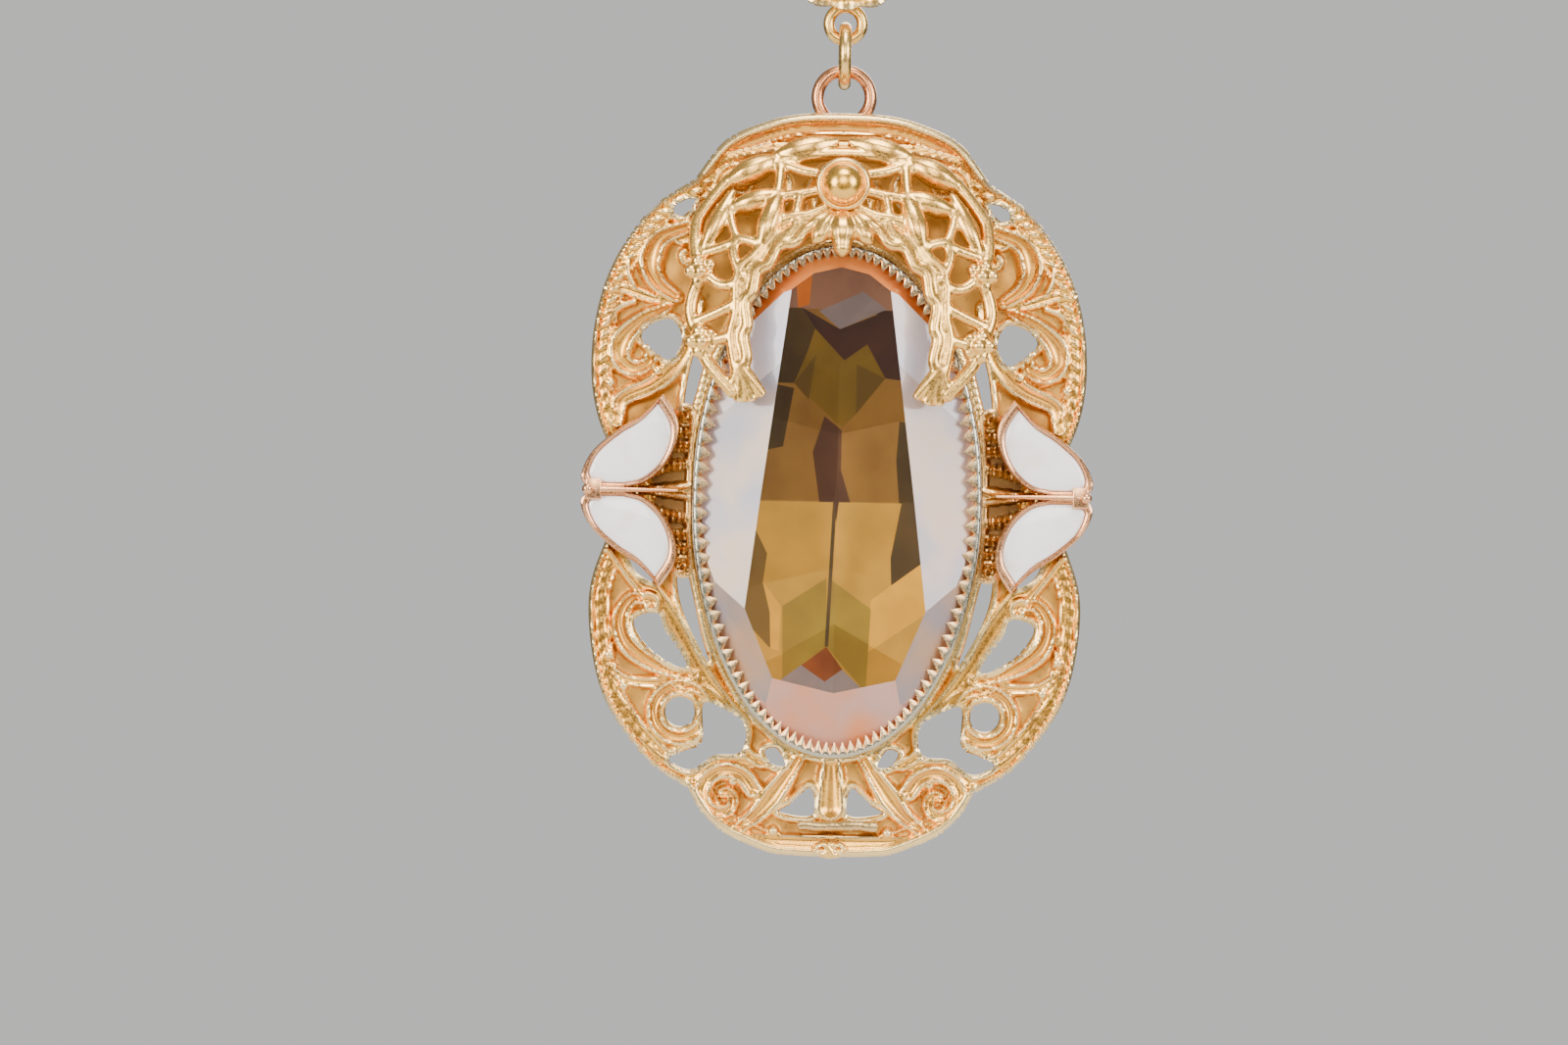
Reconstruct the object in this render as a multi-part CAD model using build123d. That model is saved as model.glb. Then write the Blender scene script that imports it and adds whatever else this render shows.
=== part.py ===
from build123d import *
import math
import os

# Costume pendant with a long oval glass stone, and the shell link that it hangs from.
# Millimetres. Every piece is modelled face up: X to the right, Y up the pendant and
# Z towards the viewer, with Z = 0 in the plane of the two soldered rings. save() then
# stands it up, so that +Z is up and the face looks along -Y.

# ---- overall sizes ----
frame_width = 40.0
frame_height = 60.0
stone_width = 22.0
stone_length = 40.0
stone_drop = 1.3             # the stone's centre sits this far below the frame's centre

# ---- rings and shell link ----
ring_wire = 1.0              # wire of the jump ring and the frame ring
jump_ring_radius = 2.25      # to the middle of the wire
frame_ring_radius = 2.15
loop_wire = 0.9
loop_radius = 1.35
ring_gap = 0.05              # running clearance between two rings that hang in each other
ring_rise = 1.4              # the frame ring's centre stands this far above the frame's top
shell_radius = 8.25
shell_spread = 76.0          # half the shell's fan, in degrees
shell_thickness = 0.8
shell_rib = 0.75             # radius of a rib at the rim
shell_rib_root = 0.25        # and at its root
shell_neck = 2.6             # radius of the plate's middle, where the ribs meet
shell_ribs = 9
ear_height = 1.9
ear_reach = 6.9
chain_hole = 1.8
chain_hole_spacing = 10.8

# ---- frame ----
plate_thickness = 0.9
border_width = 1.2
border_rise = 0.6
plate_back = ring_wire / 2
plate_front = plate_back + plate_thickness
border_front = plate_front + border_rise
solder_fit = 0.02            # gap at a soldered or pressed seat

# ---- stone and its cup ----
stone_clearance = 0.1
bezel_wall = 0.55
cup_back = -0.4
cup_floor = 0.5
keel_gap = 0.2
pavilion_depth = 4.3
girdle = 0.4
crown_height = 2.6
crown_slope = 28.0
facets = 16
seat_width = 0.7
tooth_pitch = 1.0
tooth_length = 0.85
lip_rise = 0.75              # the folded edge starts this far above the girdle
lip_thickness = 0.25

cup_floor_top = cup_back + cup_floor
keel_z = cup_floor_top + keel_gap
girdle_bottom = keel_z + pavilion_depth
girdle_top = girdle_bottom + girdle
table_z = girdle_top + crown_height
lip_z = girdle_top + lip_rise
lip_top = lip_z + lip_thickness
wall_in_x = stone_width / 2 + stone_clearance
wall_in_y = stone_length / 2 + stone_clearance
bezel_x = wall_in_x + bezel_wall
bezel_y = wall_in_y + bezel_wall
bezel_top = bezel_y - stone_drop

# ---- hood over the stone's top end ----
hood_thickness = 0.9
hood_arch = 9.0              # radius of its inner arch
hood_arch_lead = 1.35        # the arch's top clears the bezel's top by this much
hood_outer = 13.4            # radius of its outer edge
hood_margin = 1.35           # from the frame's top to the hood's top
hood_lift = 2.3              # from the stone's table to the top of that dome
hood_rail = 1.3
hood_bar = 0.95
hood_cells = 5
hood_foot = 125.0            # the inner arch ends at this angle from its top
hood_shoulder = 108.0        # where the outer edge leaves its arc for the foot
hood_lattice = 100.0         # how far round the crossed bars run, in degrees
hood_arch_y = bezel_top + hood_arch_lead - hood_arch
hood_top_y = frame_height / 2 - hood_margin
hood_outer_y = hood_top_y - hood_outer
dome_y = hood_arch_y - 1.7
dome_top = table_z + hood_lift
hood_rest = border_front + 0.1 + hood_thickness    # the dome's height where its top edge rests
dome_reach = hood_top_y - dome_y
dome_drop = dome_top - hood_rest
hood_dome = (dome_reach**2 + dome_drop**2) / (2 * dome_drop)    # radius of the dome it is bent to
stud_radius = 0.6
collar_radius = 2.15
collar_height = 0.35         # above the highest point of the dome under it
boss_radius = 1.7
boss_y = (bezel_top + hood_arch_lead + hood_top_y) / 2 - 0.8
palmette_length = 3.7
palmette_thickness = 0.7
side_post_radius = 0.5
side_post_x = 10.9
side_post_y = 17.2

# ---- leaves, fans and small parts ----
leaf_gap = 1.2               # from the bezel to a leaf's nearest edge
leaf_parting = 0.1           # half the gap between the two leaves of a pair
leaf_y = -0.7
leaf_base = 2.7
leaf_floor = 0.5
leaf_rim = 0.4
leaf_depth = 0.7
enamel_sink = 0.12
rivet_radius = 0.5
rivet_head = 0.85
rivet_head_height = 0.35
rivet_out = 2.3              # the rivets stand this far out from the leaves' inner edge
rivet_up = 3.2               # and this far above and below the pair's middle
fan_thickness = 0.6
fan_reach = 5.4
fan_height = 11.6
fan_ribs = 7
fan_rib_width = 0.35
fan_scroll = 1.0             # radius of the round end of a fan
knob_radius = 0.45
mend_width = 1.0
mend_length = 7.2
mend_height = 0.7
lug_width = 3.0
lug_height = 1.5
lug_thickness = 0.9
pin_hole = 0.5
pin_spacing = 1.36
bead_spacing = 3.0
bead_radius = 0.85

# ---- heights of the hanging chain of rings ----
frame_ring_y = frame_height / 2 + ring_rise
frame_ring_top = frame_ring_y + frame_ring_radius
jump_low = frame_ring_top - ring_wire - ring_gap
jump_ring_y = jump_low + jump_ring_radius
jump_high = jump_ring_y + jump_ring_radius
loop_low = jump_high - (ring_wire + loop_wire) / 2 - ring_gap
loop_y = loop_low + loop_radius
shell_bottom = loop_y + loop_radius - loop_wire / 2 + 0.1
shell_y = shell_bottom + shell_radius
hang_y = shell_y + 0.4


def save(name, shape):
    """Stand the piece up, put the hanging point at the origin and write it."""
    export_step(Rot(90, 0, 0) * Pos(0, -hang_y, 0) * shape, f"parts/{name}.step")


def mirrored(shape):
    return mirror(shape, Plane.YZ)


def slab(face, low, high):
    """A flat face raised into a plate between two heights."""
    return extrude(Pos(0, 0, low) * face, amount=high - low, dir=(0, 0, 1))


def oval(half_x, half_y):
    return Pos(0, -stone_drop) * Ellipse(half_x, half_y)


def closed_face(points):
    return make_face(Spline(*points, periodic=True))


def between(angle, share):
    """A point from the bezel's edge (share 0) to the frame's nominal oval (share 1)."""
    turn = math.radians(angle)
    inner_x = bezel_x * math.cos(turn)
    inner_y = bezel_y * math.sin(turn) - stone_drop
    outer_x = frame_width / 2 * math.cos(turn)
    outer_y = frame_height / 2 * math.sin(turn)
    return (inner_x + share * (outer_x - inner_x), inner_y + share * (outer_y - inner_y))


# ---- frame plate ----
# Each lobe of the outline runs from one notch to the next, as (angle, share) pairs.
top_lobe = [(54, 1.03), (63, 1.10), (73, 1.06), (90, 1.0), (107, 1.06), (117, 1.10), (126, 1.03)]
upper_lobe = [(-1, 0.56), (10, 0.96), (20, 1.15), (31, 1.22), (43, 1.17), (54, 1.03)]
lower_lobe = [(-55, 1.02), (-45, 1.18), (-32, 1.25), (-19, 1.12), (-10, 0.88), (-1, 0.56)]
bottom_lobe = [(-125, 1.02), (-117, 1.12), (-105, 1.08), (-90, 1.0), (-75, 1.08), (-63, 1.12), (-55, 1.02)]

# Openings of the right half, again as (angle, share) pairs round each hole.
openings = {
    "lower_heart": [(-23.5, 0.72), (-23.3, 0.47), (-27.5, 0.43), (-35, 0.34), (-35, 0.44), (-29, 0.65)],
    "lower_scroll": [
        (-45, 0.37), (-49, 0.22), (-57, 0.15), (-60, 0.37), (-55, 0.60), (-53, 0.88),
        (-48.5, 0.98), (-49.5, 0.80), (-51, 0.60),
    ],
    "lower_slot": [(-16, 0.19), (-16.5, 0.10), (-23, 0.08), (-31, 0.10), (-38, 0.13), (-29, 0.19), (-22, 0.22)],
    "lower_leaf_slit": [(-12, 0.64), (-15, 0.49), (-17.3, 0.45), (-15, 0.60)],
    "bezel_crescent": [(-69, 0.10), (-66, 0.20), (-70, 0.26), (-74, 0.20)],
    "foot_triangle": [(-83.5, 0.33), (-85, 0.60), (-76, 0.66), (-79, 0.52)],
    "upper_notch": [(47, 1.0), (50, 0.98), (52, 0.90), (48, 0.90)],
    "upper_heart": [(26, 0.74), (29.5, 0.67), (32.5, 0.52), (30.5, 0.37), (25.5, 0.42), (25.3, 0.62)],
    "upper_slot": [(18, 0.12), (19, 0.18), (27, 0.22), (35, 0.23), (34, 0.14), (26, 0.10)],
}
round_hole = (-43, 0.62)
round_hole_radius = 1.2


def outline_face():
    edges = []
    for lobe in (top_lobe, bottom_lobe):
        edges.append(Spline(*[between(angle, share) for angle, share in lobe]))
    for lobe in (upper_lobe, lower_lobe):
        right = Spline(*[between(angle, share) for angle, share in lobe])
        edges.append(right)
        edges.append(mirrored(right))
    return make_face(edges)


def inside_border(margin):
    """The outline drawn in by the border's width and a margin."""
    narrower = 1 - 2 * (border_width + margin) / frame_width
    shorter = 1 - 2 * (border_width + margin) / frame_height
    return scale(outline_face(), by=(narrower, shorter, 1))


def rivet_places():
    """Centres of the four leaf rivets, from the bezel outwards."""
    places = []
    for side in (-1, 1):
        for way in (-1, 1):
            places.append((side * (bezel_x + leaf_gap + rivet_out), leaf_y + way * rivet_up))
    return places


def frame_plate():
    outline = outline_face()
    plate = slab(outline, plate_back, plate_front)
    plate += slab(outline - inside_border(0), plate_front, border_front)
    cutters = [slab(oval(bezel_x + solder_fit, bezel_y + solder_fit), plate_back - 1, border_front + 1)]
    for points in openings.values():
        hole = closed_face([between(angle, share) for angle, share in points])
        cutters.append(slab(hole, plate_back - 1, border_front + 1))
        cutters.append(mirrored(slab(hole, plate_back - 1, border_front + 1)))
    for side in (-1, 1):
        x, y = between(*round_hole)
        hole = Pos(side * x, y) * Circle(round_hole_radius)
        cutters.append(slab(hole, plate_back - 1, border_front + 1))
    for x, y in rivet_places():
        cutters.append(slab(Pos(x, y) * Circle(rivet_radius + solder_fit), plate_back - 1, plate_front + 1))
    cutters.append(slab(Pos(0, boss_y) * Circle(stud_radius + solder_fit), plate_back - 1, plate_front + 1))
    for cutter in cutters:
        plate -= cutter
    return plate


# ---- stone and cup ----
def stone():
    """An oval glass stone: a prism trimmed by one ring of planes above and one below."""
    body = slab(oval(stone_width / 2, stone_length / 2), keel_z, table_z)
    pavilion_slope = math.degrees(math.atan2(pavilion_depth, stone_width / 2))
    for k in range(facets):
        turn = math.radians((k + 0.5) * 360 / facets)
        x = stone_width / 2 * math.cos(turn)
        y = stone_length / 2 * math.sin(turn) - stone_drop
        out_x = math.cos(turn) / stone_width
        out_y = math.sin(turn) / stone_length
        size = math.hypot(out_x, out_y)
        for height, slope, up in ((girdle_top, crown_slope, 1), (girdle_bottom, pavilion_slope, -1)):
            tilt = math.radians(slope)
            normal = (out_x / size * math.sin(tilt), out_y / size * math.sin(tilt), up * math.cos(tilt))
            cut = Plane(origin=(x, y, height), z_dir=normal)
            body = split(body, bisect_by=cut, keep=Keep.BOTTOM)
    return body


def cup_plate():
    return slab(oval(bezel_x, bezel_y), cup_back, cup_floor_top)


def stone_seat():
    """The bearing ring inside the wall that the stone's girdle rests on."""
    outer = oval(wall_in_x - solder_fit, wall_in_y - solder_fit)
    inner = oval(wall_in_x - seat_width, wall_in_y - seat_width)
    top = girdle_bottom - seat_width * pavilion_depth / (stone_width / 2) - 0.05
    return slab(outer - inner, cup_floor_top, top)


def bezel_band():
    """The gallery strip: a plain wall whose top edge is folded in as saw teeth."""
    wall = slab(oval(bezel_x, bezel_y) - oval(wall_in_x, wall_in_y), cup_floor_top, lip_top)
    spread = math.pi * (3 * (bezel_x + bezel_y) - math.sqrt((3 * bezel_x + bezel_y) * (bezel_x + 3 * bezel_y)))
    teeth = round(spread / tooth_pitch)
    rim = []
    for k in range(2 * teeth):
        turn = math.pi * k / teeth
        reach = tooth_length if k % 2 else 0.1
        rim.append(((wall_in_x - reach) * math.cos(turn), (wall_in_y - reach) * math.sin(turn) - stone_drop))
    inner = make_face(Polyline(*rim, close=True))
    return wall + slab(oval(bezel_x, bezel_y) - inner, lip_z, lip_top)


# ---- hood ----
def dome_shell(low, high):
    """A slice of the dome that the hood and its palmette are bent to."""
    centre = Pos(0, dome_y, dome_top - hood_dome)
    return centre * (Sphere(hood_dome + high) - Sphere(hood_dome + low))


def dome_height(x, y):
    return dome_top - hood_dome + math.sqrt(hood_dome**2 - x**2 - (y - dome_y)**2)


def arch_point(radius, centre_y, angle):
    turn = math.radians(angle)
    return (radius * math.sin(turn), centre_y + radius * math.cos(turn))


def bar(start, end, width):
    """A straight bar with round ends between two points."""
    length = math.hypot(end[0] - start[0], end[1] - start[1])
    angle = math.degrees(math.atan2(end[1] - start[1], end[0] - start[0]))
    middle = ((start[0] + end[0]) / 2, (start[1] + end[1]) / 2)
    return Pos(*middle) * Rot(0, 0, angle) * SlotCenterToCenter(length, width)


def hood_pattern():
    """The hood seen flat: two rails joined by crossed bars, and two flared feet."""
    inner_mid = hood_arch + hood_rail / 2
    outer_mid = hood_outer - hood_rail / 2
    pattern = Pos(0, hood_arch_y) * (Circle(hood_arch + hood_rail) - Circle(hood_arch))
    pattern += Pos(0, hood_outer_y) * (Circle(hood_outer) - Circle(hood_outer - hood_rail))
    foot = arch_point(inner_mid, hood_arch_y, hood_foot)
    shoulder = arch_point(outer_mid, hood_outer_y, hood_shoulder)
    keep = make_face(Polyline(
        (0, hood_arch_y), foot, (foot[0] * 1.1, foot[1] - 1.2), (shoulder[0] + 0.9, shoulder[1] - 0.4),
        (hood_outer + 1, hood_arch_y), (hood_outer + 1, hood_top_y + 1), (0, hood_top_y + 1), close=True,
    ))
    keep += mirrored(keep)
    pattern = pattern & keep
    bars = []
    for k in range(hood_cells):
        first = hood_lattice * k / hood_cells
        last = hood_lattice * (k + 1) / hood_cells
        for near, far in ((first, last), (last, first)):
            start = arch_point(inner_mid, hood_arch_y, near)
            end = arch_point(outer_mid, hood_outer_y, far)
            bars.append(bar(start, end, hood_bar))
    bars.append(bar(shoulder, foot, hood_rail))
    bars.append(bar(foot, arch_point(hood_arch + 0.5, hood_arch_y, hood_foot + 4), hood_rail))
    for piece in bars:
        pattern += piece
        pattern += mirrored(piece)
    return pattern


def stud_bore(radius):
    return slab(Pos(0, boss_y) * Circle(radius), plate_back - 1, dome_top + 1)


def crown_hood():
    pattern = hood_pattern() + Pos(0, boss_y) * Circle(collar_radius)
    hood = slab(pattern, border_front + solder_fit, dome_top + 1) & dome_shell(-hood_thickness, 0)
    hood -= stud_bore(stud_radius + solder_fit)
    return hood


def side_posts():
    """Two pegs that carry the hood's sides on the frame."""
    far_side = dome_height(side_post_x + side_post_radius, side_post_y + side_post_radius)
    top = far_side - hood_thickness
    post = slab(Pos(side_post_x, side_post_y) * Circle(side_post_radius), plate_front, top)
    return Compound([post, mirrored(post)])


def collar_top():
    return dome_height(0, boss_y - collar_radius) + collar_height


def crown_stud():
    """The stud through the frame, the hood and the boss, with its head at the back."""
    top = collar_top()
    shank = slab(Pos(0, boss_y) * Circle(stud_radius), plate_back, top)
    head = slab(Pos(0, boss_y) * Circle(rivet_head), plate_back - rivet_head_height, plate_back)
    return shank + head


def boss_collar():
    ring = slab(Pos(0, boss_y) * Circle(collar_radius), collar_top() - 4, collar_top())
    ring -= Pos(0, dome_y, dome_top - hood_dome) * Sphere(hood_dome + 0.01)
    return ring - stud_bore(stud_radius + solder_fit)


def boss_dome():
    low = collar_top()
    ball = Pos(0, boss_y, low) * Sphere(boss_radius)
    return ball & slab(Pos(0, boss_y) * Circle(boss_radius + 1), low, low + boss_radius)


def palmette():
    """Three lobes that hang from the boss over the hood's inner rail."""
    top = boss_y - collar_radius - 0.1
    tip = top - palmette_length
    half = [
        (0, tip), (0.75, tip + 0.9), (1.5, tip + 1.25), (2.8, tip + 1.4), (3.2, tip + 2.4),
        (2.3, tip + 3.2), (1.4, tip + 3.2), (0.9, top),
    ]
    edge = Spline(*half)
    face = make_face([edge, mirrored(edge), Line(half[-1], (-half[-1][0], half[-1][1]))])
    return slab(face, table_z, dome_top + 2) & dome_shell(0.01, palmette_thickness)


# ---- enamel leaves ----
def leaf_face(inset=0.0):
    """The upper right leaf, from the bezel's side at x = 0 to its blunt outer end."""
    blunt = (7.2, 0.0)
    outside = [blunt, (7.75, 1.0), (6.9, 2.9), (4.9, 4.7), (2.9, 6.0), (1.25, 7.7)]
    inside = [(1.25, 7.7), (0.1, 5.8), (0.05, 4.0), (0.95, 2.0), (2.6, 0.5), (4.4, 0.0)]
    face = make_face([Spline(*outside), Spline(*inside), Line(inside[-1], blunt)])
    heart = (3.8, 2.6)
    smaller = 1 - inset / heart[0]
    face = Pos(*heart) * scale(Pos(-heart[0], -heart[1]) * face, by=smaller)
    return Pos(bezel_x + leaf_gap, leaf_y + leaf_parting) * face


def leaf_places():
    """Each leaf as a name and the moves that bring the upper right leaf there."""
    level = Plane(origin=(0, leaf_y, 0), z_dir=(0, 1, 0))
    return {
        "upper_right": lambda shape: shape,
        "upper_left": lambda shape: mirrored(shape),
        "lower_right": lambda shape: mirror(shape, level),
        "lower_left": lambda shape: mirrored(mirror(shape, level)),
    }


def leaf_cell():
    face = leaf_face()
    cell = slab(face, leaf_base, leaf_base + leaf_floor + leaf_depth)
    return cell - slab(leaf_face(leaf_rim), leaf_base + leaf_floor, leaf_base + 5)


def leaf_enamel():
    face = leaf_face(leaf_rim + solder_fit)
    return slab(face, leaf_base + leaf_floor, leaf_base + leaf_floor + leaf_depth - enamel_sink)


def leaf_rivets():
    """Four rivets: a head behind the frame and a shank up to each leaf's floor."""
    rivets = []
    for x, y in rivet_places():
        shank = slab(Pos(x, y) * Circle(rivet_radius), plate_back, leaf_base)
        head = slab(Pos(x, y) * Circle(rivet_head), plate_back - rivet_head_height, plate_back)
        rivets.append(shank + head)
    return Compound(rivets)


def leaf_clasp():
    """A strap over the blunt ends of the right pair of leaves, with a knob on it."""
    top = leaf_base + leaf_floor + leaf_depth
    x = bezel_x + leaf_gap + 6.7
    strap = Pos(x, leaf_y) * RectangleRounded(1.3, 1.7, 0.3)
    knob = Pos(x + 0.45, leaf_y, top + 0.3 + knob_radius * 0.7) * Sphere(knob_radius)
    return slab(strap, top, top + 0.3) + knob


def waist_fan():
    """The low fan between the right pair of leaves and the bezel."""
    reach = bezel_x + fan_reach
    middle = (bezel_x + reach) / 2 - 0.6
    fan = Pos(middle, leaf_y) * Ellipse(reach - middle, fan_height / 2)
    for y in (leaf_y - fan_height / 2 - 0.3, leaf_y + fan_height / 2 + 0.3):
        fan += Pos(bezel_x + 0.75, y) * Circle(fan_scroll)
    fan -= oval(bezel_x + 0.05, bezel_y + 0.05)
    fan = fan & inside_border(0.05)
    piece = slab(fan, plate_front, plate_front + fan_thickness)
    for k in range(fan_ribs):
        step = k - (fan_ribs - 1) / 2
        start = (bezel_x + 0.9, leaf_y + 0.9 * step)
        end = (reach - 2.4, leaf_y + 1.1 * step)
        piece += slab(bar(start, end, fan_rib_width), plate_front, plate_front + fan_thickness + 0.2)
    for x, y in rivet_places():
        piece -= slab(Pos(x, y) * Circle(rivet_radius + solder_fit), plate_back - 1, leaf_base)
    return piece


# ---- small parts at the foot ----
def mend_bar():
    y = -frame_height / 2 + border_width + 0.85 + mend_width / 2
    face = Pos(0.6, y) * SlotOverall(mend_length, mend_width)
    piece = slab(face, plate_front, plate_front + mend_height)
    return fillet(piece.edges().group_by(Axis.Z)[-1], mend_height / 3)


def drop_lug():
    """The stub of a lug at the foot, drilled for the two pins of a lost drop."""
    y = -frame_height / 2 + lug_height / 2 - 0.1
    lug = slab(Pos(0, y) * Ellipse(lug_width / 2, lug_height / 2), border_front, border_front + lug_thickness)
    for x in (-pin_spacing / 2, pin_spacing / 2):
        lug -= slab(Pos(x, y) * Circle(pin_hole / 2), border_front - 1, border_front + 5)
    return lug


# ---- rings and link ----
def frame_ring():
    return Pos(0, frame_ring_y) * Torus(frame_ring_radius, ring_wire / 2)


def jump_ring():
    return Pos(0, jump_ring_y) * Rot(0, 90, 0) * Torus(jump_ring_radius, ring_wire / 2)


def link_loop():
    return Pos(0, loop_y) * Torus(loop_radius, loop_wire / 2)


def ring_solder():
    """Two beads of solder that fix the frame ring behind the frame's top edge."""
    beads = []
    for side in (-1, 1):
        bead = Pos(side * bead_spacing / 2, frame_height / 2 - 0.75, plate_back - 0.25) * Sphere(bead_radius)
        bead &= slab(Rectangle(50, 200), -3, plate_back)
        bead -= Pos(0, frame_ring_y) * Torus(frame_ring_radius, ring_wire / 2 + 0.01)
        beads.append(max(bead.solids(), key=lambda solid: solid.volume))
    return Compound(beads)


def shell_link():
    """A fluted scallop shell with two drilled ears for the ends of the chain."""
    back = loop_wire / 2
    front = back + shell_thickness
    fan = Pos(0, shell_y) * Circle(shell_radius)
    low = -shell_radius * math.sin(math.radians(90 - shell_spread))
    half = shell_radius + 1
    edge = half * math.tan(math.radians(90 - shell_spread))
    keep = make_face(Polyline(
        (0, shell_y + 0.6), (half, shell_y - edge), (half, shell_y - half), (-half, shell_y - half),
        (-half, shell_y - edge), close=True,
    ))
    ears = Pos(0, hang_y + 0.1) * RectangleRounded(2 * ear_reach, ear_height + 0.6, 0.9)
    body = slab((fan & keep) + ears + Pos(0, shell_y + low / 2) * Circle(shell_neck), back, front)
    for k in range(shell_ribs):
        angle = math.radians(-90 + (k - (shell_ribs - 1) / 2) * 2 * (shell_spread - 6) / (shell_ribs - 1))
        along = (math.cos(angle), math.sin(angle), 0)
        start = Plane(origin=(along[0], shell_y + along[1], front), z_dir=along)
        reach = shell_radius - 1.35
        body += start * Pos(0, 0, reach / 2) * Cone(shell_rib_root, shell_rib, reach)
    body -= slab(Pos(0, shell_y) * Rectangle(60, 60), back - 5, back)
    for side in (-1, 1):
        body -= slab(Pos(side * chain_hole_spacing / 2, hang_y) * Circle(chain_hole / 2), back - 1, front + 3)
    return body


def main():
    os.makedirs("parts", exist_ok=True)
    save("frame_plate", frame_plate())
    save("stone", stone())
    save("cup_plate", cup_plate())
    save("stone_seat", stone_seat())
    save("bezel_band", bezel_band())
    save("crown_hood", crown_hood())
    save("crown_side_posts", side_posts())
    save("crown_stud", crown_stud())
    save("boss_collar", boss_collar())
    save("boss_dome", boss_dome())
    save("palmette", palmette())
    for place, move in leaf_places().items():
        save(f"leaf_cell_{place}", move(leaf_cell()))
        save(f"leaf_enamel_{place}", move(leaf_enamel()))
    save("leaf_rivets", leaf_rivets())
    save("leaf_clasp_right", leaf_clasp())
    save("leaf_clasp_left", mirrored(leaf_clasp()))
    save("waist_fan_right", waist_fan())
    save("waist_fan_left", mirrored(waist_fan()))
    save("mend_bar", mend_bar())
    save("drop_lug", drop_lug())
    save("frame_ring", frame_ring())
    save("ring_solder", ring_solder())
    save("jump_ring", jump_ring())
    save("link_loop", link_loop())
    save("shell_link", shell_link())


main()
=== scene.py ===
# %% [markdown]
# # A gilt pendant with a long amber stone
#
# The pendant hangs from a shell link by two rings. Its frame is cast openwork, its stone sits
# in a cup with a saw-tooth edge, a pierced hood covers the stone's top end, and two pairs of
# white enamel leaves spread at its waist. Every piece is modelled face up in millimetres,
# X right, Y up the pendant and Z towards the viewer, and is stood up as it is finished.

# %% Load the measured frame
import math
import random

import bmesh
import bpy
import numpy as np
from mathutils import Matrix, Vector


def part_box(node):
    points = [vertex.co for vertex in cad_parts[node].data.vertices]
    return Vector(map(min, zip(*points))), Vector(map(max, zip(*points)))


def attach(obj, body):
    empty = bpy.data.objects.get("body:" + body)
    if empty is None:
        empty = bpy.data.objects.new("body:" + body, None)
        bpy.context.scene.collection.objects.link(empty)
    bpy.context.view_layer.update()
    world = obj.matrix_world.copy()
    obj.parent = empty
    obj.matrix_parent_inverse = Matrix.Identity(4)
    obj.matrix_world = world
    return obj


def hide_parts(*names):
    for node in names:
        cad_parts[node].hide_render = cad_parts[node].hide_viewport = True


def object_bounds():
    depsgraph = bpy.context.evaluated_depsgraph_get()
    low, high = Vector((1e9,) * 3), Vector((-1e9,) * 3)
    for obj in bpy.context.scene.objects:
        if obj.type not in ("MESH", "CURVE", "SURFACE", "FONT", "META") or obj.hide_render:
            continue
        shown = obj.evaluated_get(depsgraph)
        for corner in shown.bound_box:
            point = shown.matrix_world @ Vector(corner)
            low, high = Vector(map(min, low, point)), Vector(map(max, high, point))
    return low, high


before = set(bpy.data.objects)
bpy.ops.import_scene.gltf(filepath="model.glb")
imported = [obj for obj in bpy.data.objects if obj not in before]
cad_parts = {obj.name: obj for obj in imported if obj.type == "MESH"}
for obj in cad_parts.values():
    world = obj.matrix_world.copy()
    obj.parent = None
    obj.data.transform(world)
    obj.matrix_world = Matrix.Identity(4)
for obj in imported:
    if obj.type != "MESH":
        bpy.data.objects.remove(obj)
cad_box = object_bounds()

# %% [markdown]
# ## Sizes from the frame
#
# Copying numbers from the CAD file would let the two models drift apart. The sizes here are
# read from the boxes of the CAD nodes instead, so each new piece lands on its own node.

# %% Read sizes in millimetres
MM = 0.001
plate_low, plate_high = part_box("frame_plate")
MIDDLE = (plate_low.z + plate_high.z) / 2
STAND = Matrix.Translation((0, 0, MIDDLE)) @ Matrix.Rotation(math.pi / 2, 4, "X") @ Matrix.Scale(MM, 4)


def face_up_box(node):
    """The lowest and highest corners of a node, in millimetres, face up."""
    low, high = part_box(node)
    return (
        Vector((low.x / MM, (low.z - MIDDLE) / MM, -high.y / MM)),
        Vector((high.x / MM, (high.z - MIDDLE) / MM, -low.y / MM)),
    )


def half_size(node):
    low, high = face_up_box(node)
    return (high - low) / 2


def centre(node):
    low, high = face_up_box(node)
    return (high + low) / 2


frame_half = half_size("frame_plate")
bezel_half = half_size("bezel_band")
stone_half = half_size("stone")
STONE_Y = centre("stone").y
PLATE_BACK = face_up_box("frame_plate")[0].z
PLATE_THICKNESS = 0.9
PLATE_FRONT = PLATE_BACK + PLATE_THICKNESS
TABLE_Z = face_up_box("stone")[1].z
KEEL_Z = face_up_box("stone")[0].z
LIP_Z = face_up_box("bezel_band")[1].z
print("frame half size", frame_half.x, frame_half.y, "table", TABLE_Z, "lip", LIP_Z)

# %% [markdown]
# ## Helpers for finished pieces
#
# A piece could be scaled and turned as an object, but the export puts every object back at
# the origin. So the place goes into the mesh, and the object stays unturned.

# %% Turn a bmesh into a finished piece
HIGHLIGHT_ROUNDS = 4          # how widely a point is compared with its surroundings
WELD = 0.0005            # points closer than this become one


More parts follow.
